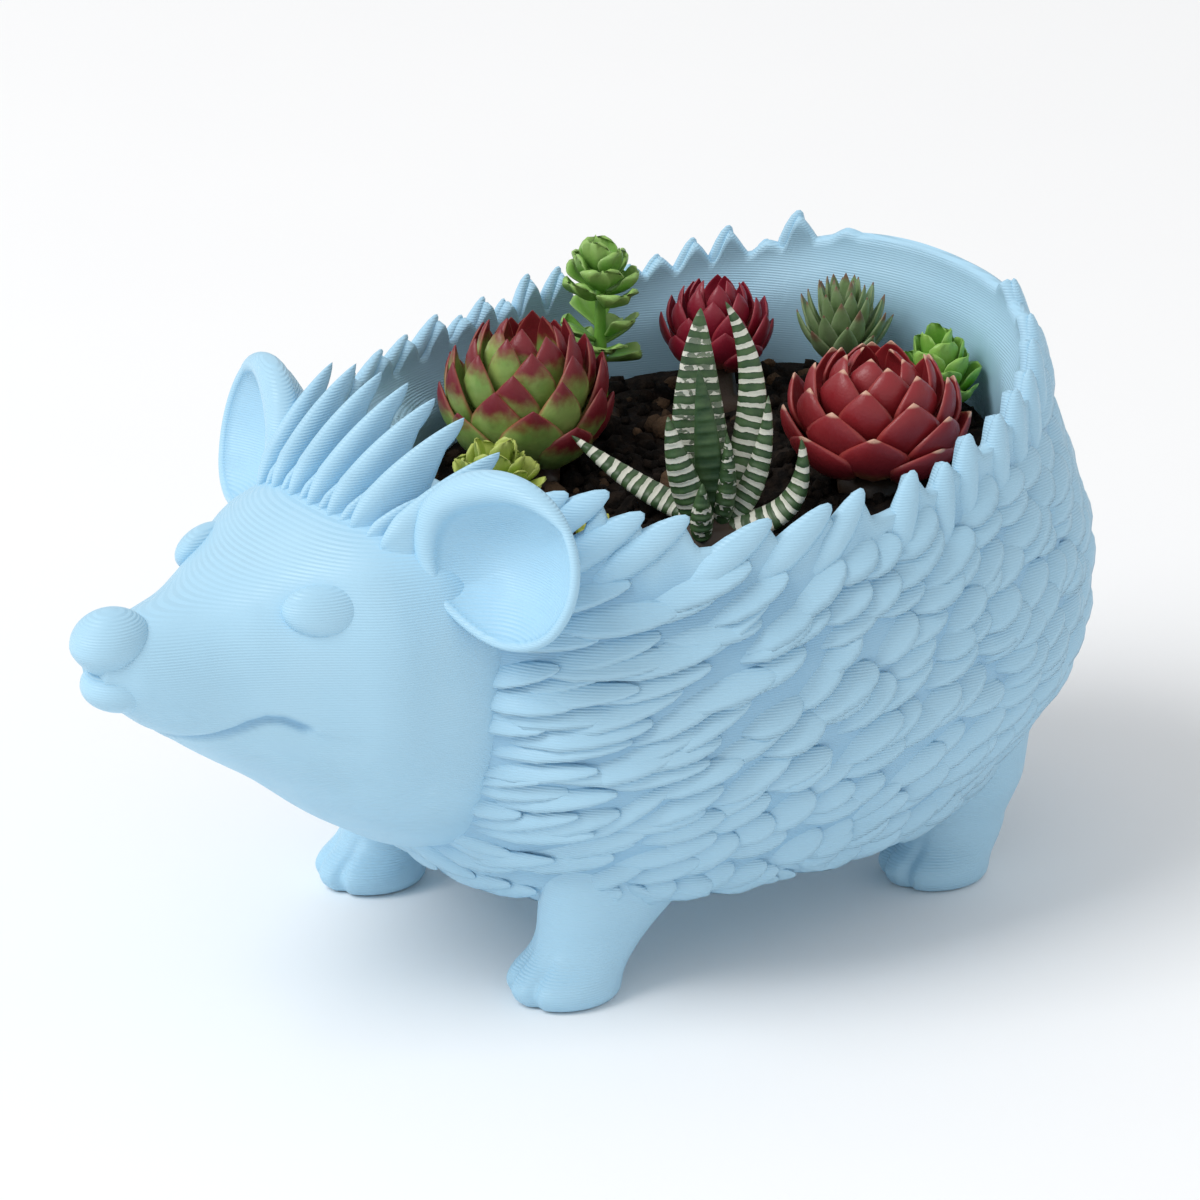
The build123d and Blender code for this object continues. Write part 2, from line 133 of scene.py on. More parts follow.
towards = Vector((math.sin(CAMERA_TURN) * math.cos(CAMERA_LIFT),
                  -math.cos(CAMERA_TURN) * math.cos(CAMERA_LIFT), math.sin(CAMERA_LIFT)))
camera = bpy.data.objects.new("camera", bpy.data.cameras.new("camera"))
camera.data.lens = CAMERA_LENS
camera.data.sensor_width = 36.0
camera.location = LOOK_AT + towards * CAMERA_DISTANCE
camera.rotation_euler = towards.to_track_quat("Z", "Y").to_euler()
bpy.context.scene.collection.objects.link(camera)
bpy.context.scene.camera = camera
print("camera at", [round(v, 3) for v in camera.location])

# %% [markdown]
# Finishes are built from nodes in code. A few short helpers keep each finish to a handful of lines,
# and every pattern is measured in millimetres on the piece itself, so it stays put when a piece moves.

# %% Helpers for finishes
def new_finish(name, roughness, specular=0.5):
    """A material with one shader, whose constant numbers sit on the shader's own sockets."""
    finish = bpy.data.materials.new(name)
    finish.use_nodes = True
    tree = finish.node_tree
    shader = tree.nodes["Principled BSDF"]
    shader.inputs["Roughness"].default_value = roughness
    shader.inputs["Specular IOR Level"].default_value = specular
    return finish, tree, shader


def put(tree, socket, value):
    """Links an output to a socket, or writes a plain value on it."""
    if isinstance(value, bpy.types.NodeSocket):
        tree.links.new(value, socket)
    else:
        socket.default_value = (*value, 1.0) if isinstance(value, tuple) and len(value) == 3 else value


def maths(tree, operation, *values):
    """One sum on one, two or three values."""
    node = tree.nodes.new("ShaderNodeMath")
    node.operation = operation
    for socket, value in zip(node.inputs, values):
        put(tree, socket, value)
    return node.outputs[0]


def spread(tree, value, low, high, new_low=0.0, new_high=1.0):
    """Takes a value from one span to another, eased at both ends."""
    node = tree.nodes.new("ShaderNodeMapRange")
    node.interpolation_type = "SMOOTHSTEP"
    for socket, v in zip(node.inputs, (value, low, high, new_low, new_high)):
        put(tree, socket, v)
    return node.outputs[0]


def mixed(tree, factor, a, b):
    """Colour a turning into colour b."""
    node = tree.nodes.new("ShaderNodeMix")
    node.data_type = "RGBA"
    for index, value in ((0, factor), (6, a), (7, b)):
        put(tree, node.inputs[index], value)
    return node.outputs[2]


def mark(tree, name):
    """A number that the mesh carries at each point."""
    node = tree.nodes.new("ShaderNodeAttribute")
    node.attribute_name = name
    return node.outputs["Fac"]


def place(tree):
    """The place on the piece, in metres."""
    return tree.nodes.new("ShaderNodeTexCoord").outputs["Object"]


def mottle(tree, size_mm, detail=3.0):
    """Cloudy noise from 0 to 1, with patches about size_mm across."""
    node = tree.nodes.new("ShaderNodeTexNoise")
    put(tree, node.inputs["Vector"], place(tree))
    node.inputs["Scale"].default_value = 1.0 / (size_mm * MM)
    node.inputs["Detail"].default_value = detail
    return node.outputs["Fac"]


def roughen(tree, shader, height, depth_mm, strength=1.0):
    """Tilts the shading by a height map of the given depth."""
    node = tree.nodes.new("ShaderNodeBump")
    node.inputs["Strength"].default_value = strength
    node.inputs["Distance"].default_value = depth_mm * MM
    put(tree, node.inputs["Height"], height)
    put(tree, shader.inputs["Normal"], node.outputs[0])


# %% [markdown]
# A pale studio: an even white surround, and one large soft lamp high on the face's side, so that
# the quills cast short soft shadows. The floor is a broad white sheet that carries the shadow.

# %% Light and floor
SURROUND_STRENGTH = 0.66
LAMP_WATTS, LAMP_SIZE, LAMP_PLACE = 23.0, 1.1, (-0.25, -1.25, 1.55)
FLOOR_WHITE, FLOOR_BRIGHT = (0.94, 0.945, 0.955), (0.96, 0.965, 0.97)
FLOOR_REACH = 4.0

world = bpy.data.worlds.new("surround")
world.use_nodes = True
world.node_tree.nodes["Background"].inputs["Color"].default_value = (1.0, 1.0, 1.0, 1.0)
world.node_tree.nodes["Background"].inputs["Strength"].default_value = SURROUND_STRENGTH
bpy.context.scene.world = world

lamp = bpy.data.objects.new("soft_lamp", bpy.data.lights.new("soft_lamp", "AREA"))
lamp.data.size = LAMP_SIZE
lamp.data.energy = LAMP_WATTS
lamp.location = LAMP_PLACE
lamp.rotation_euler = (lamp.location - LOOK_AT).to_track_quat("Z", "Y").to_euler()
bpy.context.scene.collection.objects.link(lamp)

floor_finish, tree, shader = new_finish("pale_floor", 0.8, 0.2)
put(tree, shader.inputs["Base Color"], mixed(tree, mottle(tree, 60.0), FLOOR_WHITE, FLOOR_BRIGHT))
corners = [(-FLOOR_REACH, -FLOOR_REACH, 0), (FLOOR_REACH, -FLOOR_REACH, 0),
           (FLOOR_REACH, FLOOR_REACH, 0), (-FLOOR_REACH, FLOOR_REACH, 0)]
floor_mesh = bpy.data.meshes.new("floor")
floor_mesh.from_pydata(corners, [], [(0, 1, 2, 3)])
floor_mesh.materials.append(floor_finish)
floor = bpy.data.objects.new("floor", floor_mesh)
bpy.context.scene.collection.objects.link(floor)
bpy.context.scene.view_settings.view_transform = "Standard"
print("lamp of", LAMP_WATTS, "W, floor of", 2 * FLOOR_REACH, "m")

# %% [markdown]
# The pot is printed in layers about 0.3 mm high. On upright walls they show as a faint level
# grain, and on gentle slopes as contour lines. A band of height that repeats with the place's
# height above the floor gives both, and it is made deeper where the surface looks up or down.

# %% Printed plastic
LAYER_MM = 0.3
PRINT_BLUE = (0.40, 0.655, 0.83)
# A darker blue, painted in as shade in creases and between the quills.
PAINTED_SHADE_BLUE = (0.24, 0.47, 0.68)

print_finish, tree, shader = new_finish("printed_plastic", 0.46, 0.42)
steps = tree.nodes.new("ShaderNodeSeparateXYZ")
put(tree, steps.inputs[0], place(tree))
facing = tree.nodes.new("ShaderNodeSeparateXYZ")
put(tree, facing.inputs[0], tree.nodes.new("ShaderNodeNewGeometry").outputs["Normal"])
layers = maths(tree, "PINGPONG", maths(tree, "DIVIDE", steps.outputs["Z"], LAYER_MM * MM), 0.5)
slope = maths(tree, "MULTIPLY_ADD", maths(tree, "ABSOLUTE", facing.outputs["Z"]), 1.0, 0.30)
ripple = maths(tree, "MULTIPLY", maths(tree, "MULTIPLY", layers, slope),
               spread(tree, mottle(tree, 7.0), 0.3, 0.7, 0.55, 1.0))
# Painted shade: darker blue where the mark is high, in the mouth's groove, at quill roots and between quills.
blue = mixed(tree, spread(tree, mark(tree, "valley"), 0.0, 1.0), PRINT_BLUE, PAINTED_SHADE_BLUE)
blue = mixed(tree, spread(tree, mottle(tree, 11.0), 0.35, 0.75, 0.0, 0.22), blue, (0.47, 0.71, 0.865))
put(tree, shader.inputs["Base Color"], blue)
put(tree, shader.inputs["Roughness"], spread(tree, mottle(tree, 2.0), 0.3, 0.7, 0.40, 0.54))
roughen(tree, shader, ripple, 0.16)
print("print layers of", LAYER_MM, "mm")

# %% [markdown]
# The bowl is the animal's trunk: an egg seen from above, fuller at the flank than at the rim. Its
# wall is plain, and the coat is laid on it as hundreds of separate quills. A single lifted grid
# would be simpler, but a quill has a free lower edge that hangs over the next one, and a lifted grid
# can't overhang. To lay them, the wall is unrolled into a sheet: length round the trunk one way,
# height the other way.

# %% The trunk's plain outline
LEVELS = [12.3, 33.8, 49.8, 76.3]
HALF_WIDTH = np.polyfit(LEVELS, [31.0, 42.0, 41.0, 37.0], 3)
FRONT = np.polyfit(LEVELS, [-23.5, -34.5, -34.5, -30.0], 3)
REAR = np.polyfit(LEVELS, [52.5, 70.0, 67.4, 59.5], 3)
FULLNESS = np.polyfit(LEVELS, [2.4, 2.5, 2.25, 2.0], 3)
RUMP_FULLNESS = 2.2
RUMP_FLARE = 2.2
WIDEST_Y = 17.75
BELLY_Z = 12.4
COAT_DEPTH = 2.1


def trunk_outline(turn, z, out=0.0):
    """Egg from above: half width by the sine of the turn, front or rear reach by its cosine.

    The oval is squared off, because both are taken to the power 2 / fullness, more so in front.
    The wall lies a coat's depth inside the measured outline; out moves it that much outwards. Over
    the rump the rim flares a little.
    """
    s, c = np.sin(turn), np.cos(turn)
    power = 2.0 / np.where(c > 0, np.polyval(FULLNESS, z), RUMP_FULLNESS)
    inset = COAT_DEPTH * np.clip((z - BELLY_Z) / 6.0, 0.2, 1.0) - out
    across = np.minimum(np.polyval(HALF_WIDTH, z), 41.95) - inset
    ahead = WIDEST_Y - np.polyval(FRONT, z) - inset
    behind = np.minimum(np.polyval(REAR, z), 69.9) - WIDEST_Y - inset
    behind = behind + RUMP_FLARE * np.clip((z - 57.0) / 10.0, 0, 1)
    x = across * np.sign(s) * np.abs(s) ** power
    y = WIDEST_Y - np.where(c > 0, ahead, behind) * np.sign(c) * np.abs(c) ** power
    return x, y


DENSE_TURN = np.linspace(0, 2 * np.pi, 6001)
steps = np.hypot(*(np.diff(v) for v in trunk_outline(DENSE_TURN, 40.0)))
DENSE_LENGTH = np.concatenate([[0], np.cumsum(steps)])
GIRTH = DENSE_LENGTH[-1]


def on_wall(length, z, out):
    """Place on the wall at a length round the trunk and a height, moved outwards."""
    x, y = trunk_outline(np.interp(length % GIRTH, DENSE_LENGTH, DENSE_TURN), z, out)
    return np.stack([x, y, z + 0 * x], -1)


COLUMNS = 480
ROUND = np.linspace(0, GIRTH, COLUMNS, endpoint=False)
TURN = np.interp(ROUND, DENSE_LENGTH, DENSE_TURN)
RIM_X, RIM_Y = trunk_outline(TURN, 60.0)
NEAR_SIDE, FAR_SIDE = np.maximum(RIM_X, 0) / 40.0, np.maximum(-RIM_X, 0) / 40.0
RIM_BASE = 57.8 + 13.8 * (np.maximum(0, RIM_Y + 2.0) / 72.0) ** 1.75
RIM_BASE = RIM_BASE - 1.5 * NEAR_SIDE * np.clip((RIM_Y + 2.0) / 20.0, 0, 1)
RIM_BASE = RIM_BASE + FAR_SIDE * (2.1 + 1.6 * np.exp(-((RIM_Y - 8.0) / 14.0) ** 2))
RIM_BASE = RIM_BASE + 1.6 * np.clip((RIM_Y - 50.0) / 8.0, 0, 1)
print(f"girth {GIRTH:.0f} mm, {COLUMNS} columns {GIRTH / COLUMNS:.2f} mm apart")

# %% [markdown]
# The rim is a row of quill tips of uneven height. They stand where the photograph shows them. Beside
# the ear they lie back, further on they stand up, and the rim over the rump is plain. The far side
# stands a little higher than the near one.

# %% Rim tips
NEAR_TIPS = [(-24.5, 6.5), (-20.0, 7.2), (-16.4, 7.4), (-12.9, 4.9), (-8.2, 4.2), (1.4, 2.9), (9.3, 3.4),
             (14.3, 4.2), (22.6, 3.9), (28.2, 2.6), (32.8, 3.9), (39.2, 3.0), (44.0, 3.2), (48.6, 2.6),
             (52.6, 3.0), (56.4, 2.2), (60.0, 2.4)]
FAR_TIPS = [(-24.5, 3.0), (-19.0, 3.4), (-13.5, 3.6), (-7.5, 4.0), (-2.4, 3.9), (3.1, 4.4), (8.0, 2.6),
            (11.6, 4.0), (15.4, 2.8), (19.1, 5.3), (23.8, 5.1), (29.6, 4.4), (34.0, 2.4), (37.6, 2.7),
            (42.1, 3.7), (46.3, 4.3), (50.2, 1.5), (53.5, 4.3), (57.4, 0.9)]
TIP_WIDTH = 4.6


def rim_tips(tips, near):
    """Length round the trunk, height of the rim and rise of each tip, from its place along the animal."""
    half = (ROUND < GIRTH / 2) == near
    order = np.argsort(RIM_Y[half])
    lengths = np.minimum(ROUND, GIRTH - ROUND)[half][order]
    place_y, rise = np.array(tips).T
    return (np.interp(place_y, RIM_Y[half][order], lengths),
            np.interp(place_y, RIM_Y[half][order], RIM_BASE[half][order]), rise)


TIPS = {1: rim_tips(NEAR_TIPS, True), -1: rim_tips(FAR_TIPS, False)}
teeth = np.zeros(COLUMNS)
for side, (lengths, bases, rises) in TIPS.items():
    for at, rise in zip(lengths, rises):
        gap = np.abs((ROUND - side * at + GIRTH / 2) % GIRTH - GIRTH / 2) / (TIP_WIDTH / 2)
        teeth = np.maximum(teeth, 0.8 * rise * np.clip(1 - gap ** 1.3, 0, 1))
print(sum(len(v[0]) for v in TIPS.values()), "rim tips, tallest", teeth.max().round(1), "mm in the wall")

# %% [markdown]
# One quill is a flat spindle with a round tip. Its root is sunk in the wall, its tip stands off, and
# it is tilted about its length, so that the lower edge is proud and crisp while the upper edge melts
# into the wall. There are hundreds of them, so each has only a few dozen faces.

# %% One quill, many times
def quill_skins(side, length, z, pitch, span, width, thick, sink, lift, tilt, blunt):
    """Quills on the unrolled wall, given by their tips, as arrays with one value each.

    With t from 0 at the root to 1 at the tip, the half width swells as the root of t and closes in
    a half circle at the tip. Outwards, the middle line goes from -sink to lift, the thickness is an
    oval, and tilt times the distance across is taken off.
    """
    columns = [np.broadcast_to(v, np.shape(length)).astype(float)[:, None, None] for v in (
        side, length, z, pitch, span, width, thick, sink, lift, tilt, blunt)]
    side, length, z, pitch, span, width, thick, sink, lift, tilt, blunt = columns
    t = np.array([0.03, 0.2, 0.42, 0.62, 0.79, 0.91, 0.98])[None, :, None]
    turn = np.linspace(0, 2 * np.pi, 9, endpoint=False)[None, None]
    close = np.sqrt(np.clip(1 - (np.clip(t - blunt, 0, 1) / (1 - blunt)) ** 2, 0, 1))
    swell = np.minimum(t / 0.45, 1) ** 0.6 * close
    across = swell * width / 2 * np.cos(turn)
    out = -sink + (lift + sink) * t ** 0.8 + thick * swell * np.sin(turn) - tilt * across
    out = np.minimum(out, COAT_DEPTH - 0.05)
    along = (t - 1) * span
    on_sheet = length + along * np.cos(pitch) - across * np.sin(pitch)
    height = z + along * np.sin(pitch) + across * np.cos(pitch)
    rings = on_wall(side * on_sheet, np.maximum(height, BELLY_Z - 0.9), out)
    root = on_wall(side * (length - span * np.cos(pitch)), z - span * np.sin(pitch), -sink)[:, 0, 0]
    tip = on_wall(side * length, z, lift)[:, 0, 0]
    # The mark is painted shade, strongest at the sunk root and fading out before the quill's middle.
    return skin(rings, root, tip, valley=np.broadcast_to(0.6 * np.clip(1 - 2.4 * t, 0, 1), rings.shape[:3]))


# %% [markdown]
# The rows run level, each half a step on from the one below, with some disorder. Next to the face the
# quills are long, thin and level, like combed hair, and their roots start under the cheek's edge.
# Round the rump they turn upwards.

# %% Lay the coat
ROW_STEP = 3.15
COLUMN_STEP = 6.2


def face_border(z):
    """Length round the trunk at which the back of the head meets the wall, at a height.

    The head's half width there is a squared oval of the height over its middle.
    """
    share = np.clip(np.abs(z - 40.0) / np.where(z > 40.0, 21.4, 25.0), 0, 1)
    full = np.where(z > 40.0, 2.8, 2.0)
    half = 22.4 * (1 - share ** full) ** (1 / full)
    across = np.polyval(HALF_WIDTH, z) - COAT_DEPTH
    turn = np.arcsin(np.clip(half / across, 0, 1) ** (np.polyval(FULLNESS, z) / 2))
    return np.interp(turn, DENSE_TURN, DENSE_LENGTH)


rng = np.random.default_rng(11)
coat = []
for row, level in enumerate(np.arange(14.6, 70.0, ROW_STEP)):
    for side in (1, -1):
        first = face_border(level) + 7.0 + COLUMN_STEP / 2 * (row % 2)
        length = np.arange(first, GIRTH / 2 + 4, COLUMN_STEP)
        length = length + rng.normal(0, 1.3, length.size)
        z = level + rng.normal(0, 0.8, length.size)
        room = length - face_border(z)
        hair = np.clip((40.0 - room) / 24.0, 0, 1)
        rump = np.clip((length - 108.0) / 30.0, 0, 1)
        under = np.clip((22.0 - z) / 6.0, 0, 1)
        pitch = 23.0 - 15.0 * hair + 30.0 * rump - 12.0 * under + rng.normal(0, 7.0, length.size)
        pitch = np.radians(pitch)
        span = 10.4 + 9.5 * hair + rng.normal(0, 1.3, length.size)
        span = np.minimum(span + 4.0 * (room < 12.0), room + 5.0)
        width = 4.6 - 1.5 * hair + rng.normal(0, 0.5, length.size)
        lift = np.clip(0.72 - 0.2 * hair + rng.normal(0, 0.25, length.size), 0.2, 1.0)
        kept = z < np.interp(side * length % GIRTH, ROUND, RIM_BASE) - 1.2
        kept &= (rng.uniform(0, 1, length.size) > 0.05) & (room > 5.5)
        coat.append([v[kept] for v in (np.full(length.size, side), length, z, pitch, span, width,
                                       0.28 + 0.07 * width, 1.1 - 0.7 * hair, lift, 0.55 - 0.12 * hair,
                                       0.52 - 0.14 * hair)])
coat = [np.concatenate(v) for v in zip(*coat)]
coat_quills = quill_skins(*coat)
print(len(coat[0]), "quills in the coat")

edge_length = np.concatenate([np.arange(30.0, GIRTH / 2, 2.9)] * 2)
edge_length = edge_length + rng.normal(0, 0.5, edge_length.size)
edge_side = np.repeat([1, -1], edge_length.size // 2)
belly_edge = quill_skins(edge_side, edge_length, BELLY_Z - 0.4 + rng.normal(0, 0.4, edge_length.size),
                         np.radians(-16.0 + rng.normal(0, 8.0, edge_length.size)), 6.5, 2.6, 0.5, 0.8,
                         0.7 + rng.normal(0, 0.2, edge_length.size), 0.1, 0.3)
print(edge_length.size, "small quills along the belly")

rim_quills = []
for side, (lengths, bases, rises) in TIPS.items():
    upright = np.clip((lengths - 62.0) / 22.0, 0, 1) if side > 0 else np.clip((lengths - 40.0) / 30.0, 0, 1)
    pitch = np.radians(32.0 + 38.0 * upright)
    rim_quills.append(quill_skins(side, lengths + 1.2 * (1 - upright), bases + rises, pitch,
                                  15.0 - 2.5 * upright, 4.3 - 0.2 * upright, 1.35, 0.9, -0.1, 0.15, 0.3))
print("rim quills laid")

# %% [markdown]
# The bowl is one closed skin: under the belly, up the wall, over the rim and down inside to the floor
# of the hollow. The rim is thin, as the photograph shows it, and the wall thickens below it. Only at
# the front, behind the fringe, is the top of the wall broad and flat.

# %% The bowl
FLOOR_Z = 15.3
HOLLOW_LEVELS = [15.3, 33.8, 76.3]
HOLLOW = [[28.6, 34.0, 34.6], [-12.2, -17.0, -17.6], [50.1, 56.5, 57.1]]
RIM_WALL = 1.9
WALL_ROWS = 44


def hollow_outline(turn, z):
    """The planting hollow from above: two half ovals, drawn in towards the floor in straight lines."""
    across, front, rear = (np.interp(z, HOLLOW_LEVELS, v) for v in HOLLOW)
    c = np.cos(turn)
    y = WIDEST_Y - np.where(c > 0, WIDEST_Y - front, rear - WIDEST_Y) * c
    return across * np.sin(turn), y


def bowl_rings():
    """Rings from the belly out to the flank, up the wall, over the rim and down inside to the floor."""
    top = RIM_BASE + teeth
    share = np.linspace(0, 1, WALL_ROWS)[:, None] ** 1.1
    wall_z = BELLY_Z + share * (RIM_BASE - BELLY_Z) + teeth * np.clip((share - 0.86) / 0.14, 0, 1)
    outer = np.stack([*trunk_outline(TURN, wall_z), wall_z], -1)
    belly_share = np.array([0.30, 0.60, 0.80, 0.90, 0.96])[:, None, None]
    belly = outer[0] * belly_share + np.array([0, WIDEST_Y, BELLY_Z]) * (1 - belly_share)
    crest = np.stack([*trunk_outline(TURN, top, -0.9), top + 0.45], -1)
    down = np.linspace(0, 1, 26)[:, None] ** 1.3
    inner_z = top + down * (FLOOR_Z - top)
    blend = np.interp(RIM_Y, [-27.0, -4.0], [0.6, 5.5])
    depth = np.clip((RIM_BASE - inner_z) / blend, 0, 1)
    thin = np.stack([*trunk_outline(TURN, inner_z, -RIM_WALL), inner_z], -1)
    thick = np.stack([*hollow_outline(TURN, inner_z), inner_z], -1)
    inner = thin + (thick - thin) * depth[..., None]
    ground = np.array([0.9, 0.5])[:, None, None]
    ground = inner[-1] * ground + np.array([0, WIDEST_Y, FLOOR_Z]) * (1 - ground)
    rings = np.concatenate([belly, outer, crest[None], inner, ground])
    # Painted shade on the outer wall between the quills, eased off towards the belly and the rim.
    valley = np.zeros(rings.shape[:2])
    valley[5:5 + WALL_ROWS] = 0.6 * np.clip(share / 0.1, 0, 1) * np.clip((1 - share) / 0.1, 0, 1)
    return rings, valley


rings, valley = bowl_rings()
bowl = one_skin(rings, [0, WIDEST_Y, BELLY_Z], [0, WIDEST_Y, FLOOR_Z], valley=valley)
make_piece("pot_bowl", [bowl, coat_quills, belly_edge, *rim_quills], print_finish, "pot",
           "pot_bowl")

# %% [markdown]
# The head is lofted from upright ovals along the animal, like hoops in a basket. The brow is fuller
# than an oval at its top, so the upper half of each hoop is squared off a little. The mouth is a
# fine groove: each point of the skin is drawn in by how near it lies to the mouth's line.

# %% The face
HEAD_Y = [-67.4, -66.0, -61.5, -54.5, -47.0, -39.5, -30.5, -21.5]
HEAD_SIZES = {
    "middle": [47.7, 47.4, 45.6, 43.4, 42.2, 41.2, 40.2, 39.6],
    "half": [1.6, 4.4, 7.1, 10.0, 14.6, 20.0, 22.4, 22.4],
    "rise": [2.0, 3.7, 6.9, 10.4, 14.2, 18.6, 21.8, 21.0],
    "drop": [1.6, 4.2, 6.4, 9.3, 13.2, 18.6, 23.4, 24.8],
    "full": [2.0, 2.0, 2.1, 2.3, 2.7, 3.0, 3.0, 2.6],
}
HEAD_LENGTH = 46.4
MOUTH_LINE = [(-60.6, 180), (-60.2, 170), (-59.2, 156), (-57.4, 138), (-55.1, 119), (-53.0, 105),
              (-51.4, 99), (-49.8, 98), (-47.8, 101)]


def head_size(name, y):
    """A size of the head at stations along it: straight pieces, averaged over a short sliding window."""
    window = np.asarray(y, float)[..., None] + np.linspace(-2.2, 2.2, 23)
    return np.interp(np.clip(window, HEAD_Y[0], HEAD_Y[-1]), HEAD_Y, HEAD_SIZES[name]).mean(-1)


def head_top(x, y):
    """Height of the crown over a point."""
    full = head_size("full", y)
    share = np.clip(1 - np.abs(x / head_size("half", y)) ** full, 0, 1) ** (1 / full)
    return head_size("middle", y) + head_size("rise", y) * share


def head_rings():
    """Ovals across the head: half width by the sine of the turn from the crown, rise or drop by its cosine.

    The mouth's line is a list of stations and turns; the groove is a bell curve of the distance to
    it, and the lip below it is set back by a slower one.
    """
    along = HEAD_Y[0] + HEAD_LENGTH * np.linspace(0, 1, 150) ** 1.15
    turn = np.linspace(-np.pi, np.pi, 280, endpoint=False)
    middle, half, rise, drop, full = (head_size(k, along)[:, None] for k in HEAD_SIZES)
    s, c = np.sin(turn), np.cos(turn)
    power = 2.0 / np.where(c > 0, full, 2.0)
    line_y, line_turn = (np.array(v, float) for v in zip(*MOUTH_LINE))
    steps = np.linspace(0, len(line_y) - 1, 120)
    line_y = np.interp(steps, np.arange(len(line_y)), line_y)
    line_turn = np.radians(np.interp(steps, np.arange(len(line_turn)), line_turn))
    away = np.broadcast_to(np.abs(turn)[None, :, None] - line_turn, (along.size, turn.size, steps.size))
    gap = np.hypot(along[:, None, None] - line_y, half[..., None] * away)
    nearest = gap.argmin(2)[..., None]
    below = np.clip(np.take_along_axis(away, nearest, 2)[..., 0] * half / 0.8, 0, 1)
    gap = gap.min(2)
    groove = 1.05 * np.exp(-(gap / 0.6) ** 2) + 0.7 * np.exp(-gap / 3.0) * below
    shrink = 1 - groove / np.hypot(half * s, np.where(c > 0, rise, drop) * c)
    x = half * np.sign(s) * np.abs(s) ** power * shrink
    z = middle + np.where(c > 0, rise, drop) * np.sign(c) * np.abs(c) ** power * shrink
    # The second result is painted shade along the mouth's groove.
    return np.stack([x, along[:, None] + 0 * x, z], -1), np.exp(-(gap / 0.7) ** 2)


def unit_ball(lift, turn):
    """Points of a ball of radius 1: lift is the angle from its pole, turn the angle round it."""
    return np.stack([np.sin(lift) * np.cos(turn), np.sin(lift) * np.sin(turn), np.cos(lift) + 0 * turn], -1)


def blob(middle, axes, sizes, rows=28, around=40):
    """An ellipsoid: three half sizes along three axes, as rings from one pole to the other."""
    middle, axes, sizes = (np.asarray(v, float) for v in (middle, axes, sizes))
    lift = np.linspace(0, np.pi, rows + 2)[1:-1, None]
    turn = np.linspace(0, 2 * np.pi, around, endpoint=False)
    local = unit_ball(lift, turn)
    pole = axes[2] * sizes[2]
    return one_skin(middle + (local * sizes) @ axes, middle + pole, middle - pole)


def unit(*v):
    """A direction of length 1."""
    v = np.array(v, float)
    return v / np.linalg.norm(v)


def eye(side):
    """A closed lid: a flat egg laid along the cheek, half sunk in it."""
    along = unit(side * 0.42, 0.90, -0.10)
    out = unit(side * 0.74, -0.36, 0.57)
    out = unit(*(out - along * (out @ along)))
    return blob([side * 12.6, -44.1, 53.2], [along, np.cross(out, along), out], [5.1, 3.1, 2.3])


def nose():
    """A short egg along the muzzle that narrows towards its lower end."""
    ball = blob([0, -65.0, 50.3], np.eye(3), [4.3, 4.95, 4.1])
    low = np.clip((49.8 - ball["points"][:, 2]) / 4.0, 0, 1)[:, None]
    ball["points"][:, :2] += (np.array([0, -64.6]) - ball["points"][:, :2]) * 0.22 * low
    return ball


def lip():
    """The bulge of the upper lip under the nose."""
    return blob([0, -63.4, 45.1], np.eye(3), [4.6, 5.3, 3.3])


rings, mouth = head_rings()
# The groove's mark darkens the plastic there as painted shade.
face = one_skin(rings, valley=mouth)
make_piece("head", [face, nose(), lip(), eye(1), eye(-1)], print_finish, "pot", "head")

# %% [markdown]
# Each ear is a cup with a rolled edge. Its profile runs from the middle of the cup out to the edge,
# over the roll and back behind. The roll is thick on top and towards the head, and thin at the outer
# and lower edge, so the profile changes as it is carried round.

# %% Ears
EAR_MIDDLE = (24.4, -29.2, 59.0)
EAR_TURN, EAR_TILT = math.radians(18.0), math.radians(14.0)
EAR_HALF_WIDTH, EAR_HALF_HEIGHT = 12.0, 10.9
EAR_CUP = 4.6


def ear(side):
    """Cup: depth falls with a power of the distance from the middle, and the edge is part of a circle."""
    out = unit(side * math.sin(EAR_TURN) * math.cos(EAR_TILT), -math.cos(EAR_TURN) * math.cos(EAR_TILT),
               math.sin(EAR_TILT))
    across = unit(side * math.cos(EAR_TURN), math.sin(EAR_TURN), 0)
    upright = np.cross(across, out) * side
    upright = upright if upright[2] > 0 else -upright
    turn = np.linspace(0, 2 * np.pi, 96, endpoint=False)
    edge = 1 / np.sqrt((np.cos(turn) / EAR_HALF_WIDTH) ** 2 + (np.sin(turn) / EAR_HALF_HEIGHT) ** 2)
    edge = edge * (1 - 0.26 * np.clip(np.cos(turn - math.radians(238)), 0, 1) ** 1.5)
    roll = 0.6 + 1.5 * np.clip(np.cos(turn - math.radians(125)), 0, 1) ** 0.8
    cup_share = np.linspace(0.12, 1, 16)[:, None]
    cup_out = cup_share * (edge - 2 * roll)
    cup_deep = -EAR_CUP * (1 - cup_share ** 2.4) + 0 * turn
    bend = np.radians(np.linspace(165, -60, 14))[:, None]
    roll_out, roll_deep = edge - roll + roll * np.cos(bend), roll * np.sin(bend)
    back_share = np.linspace(0.93, 0.12, 14)[:, None]
    back_out = back_share * (edge - 0.4 * roll)
    back_deep = roll_deep[-1] - 6.0 * (1 - back_share ** 2)
    reach = np.concatenate([cup_out, roll_out, back_out])[..., None]
    deep = np.concatenate([cup_deep, roll_deep, back_deep])[..., None]
    middle = np.array(EAR_MIDDLE) * [side, 1, 1]
    rings = middle + reach * (np.cos(turn)[:, None] * across + np.sin(turn)[:, None] * upright) + deep * out
    return one_skin(rings, middle - EAR_CUP * out, middle + (back_deep[-1].mean() - 0.15) * out)


make_piece("left_ear", [ear(1)], print_finish, "pot", "left_ear")
make_piece("right_ear", [ear(-1)], print_finish, "pot", "right_ear")

# %% [markdown]
# The fringe is combed back over the brow. Each lock is a blade: its upper edge is a round ridge that
# runs from the hairline to a free tip, and its body reaches straight down to the head. Finer ridges
# lie between the roots.

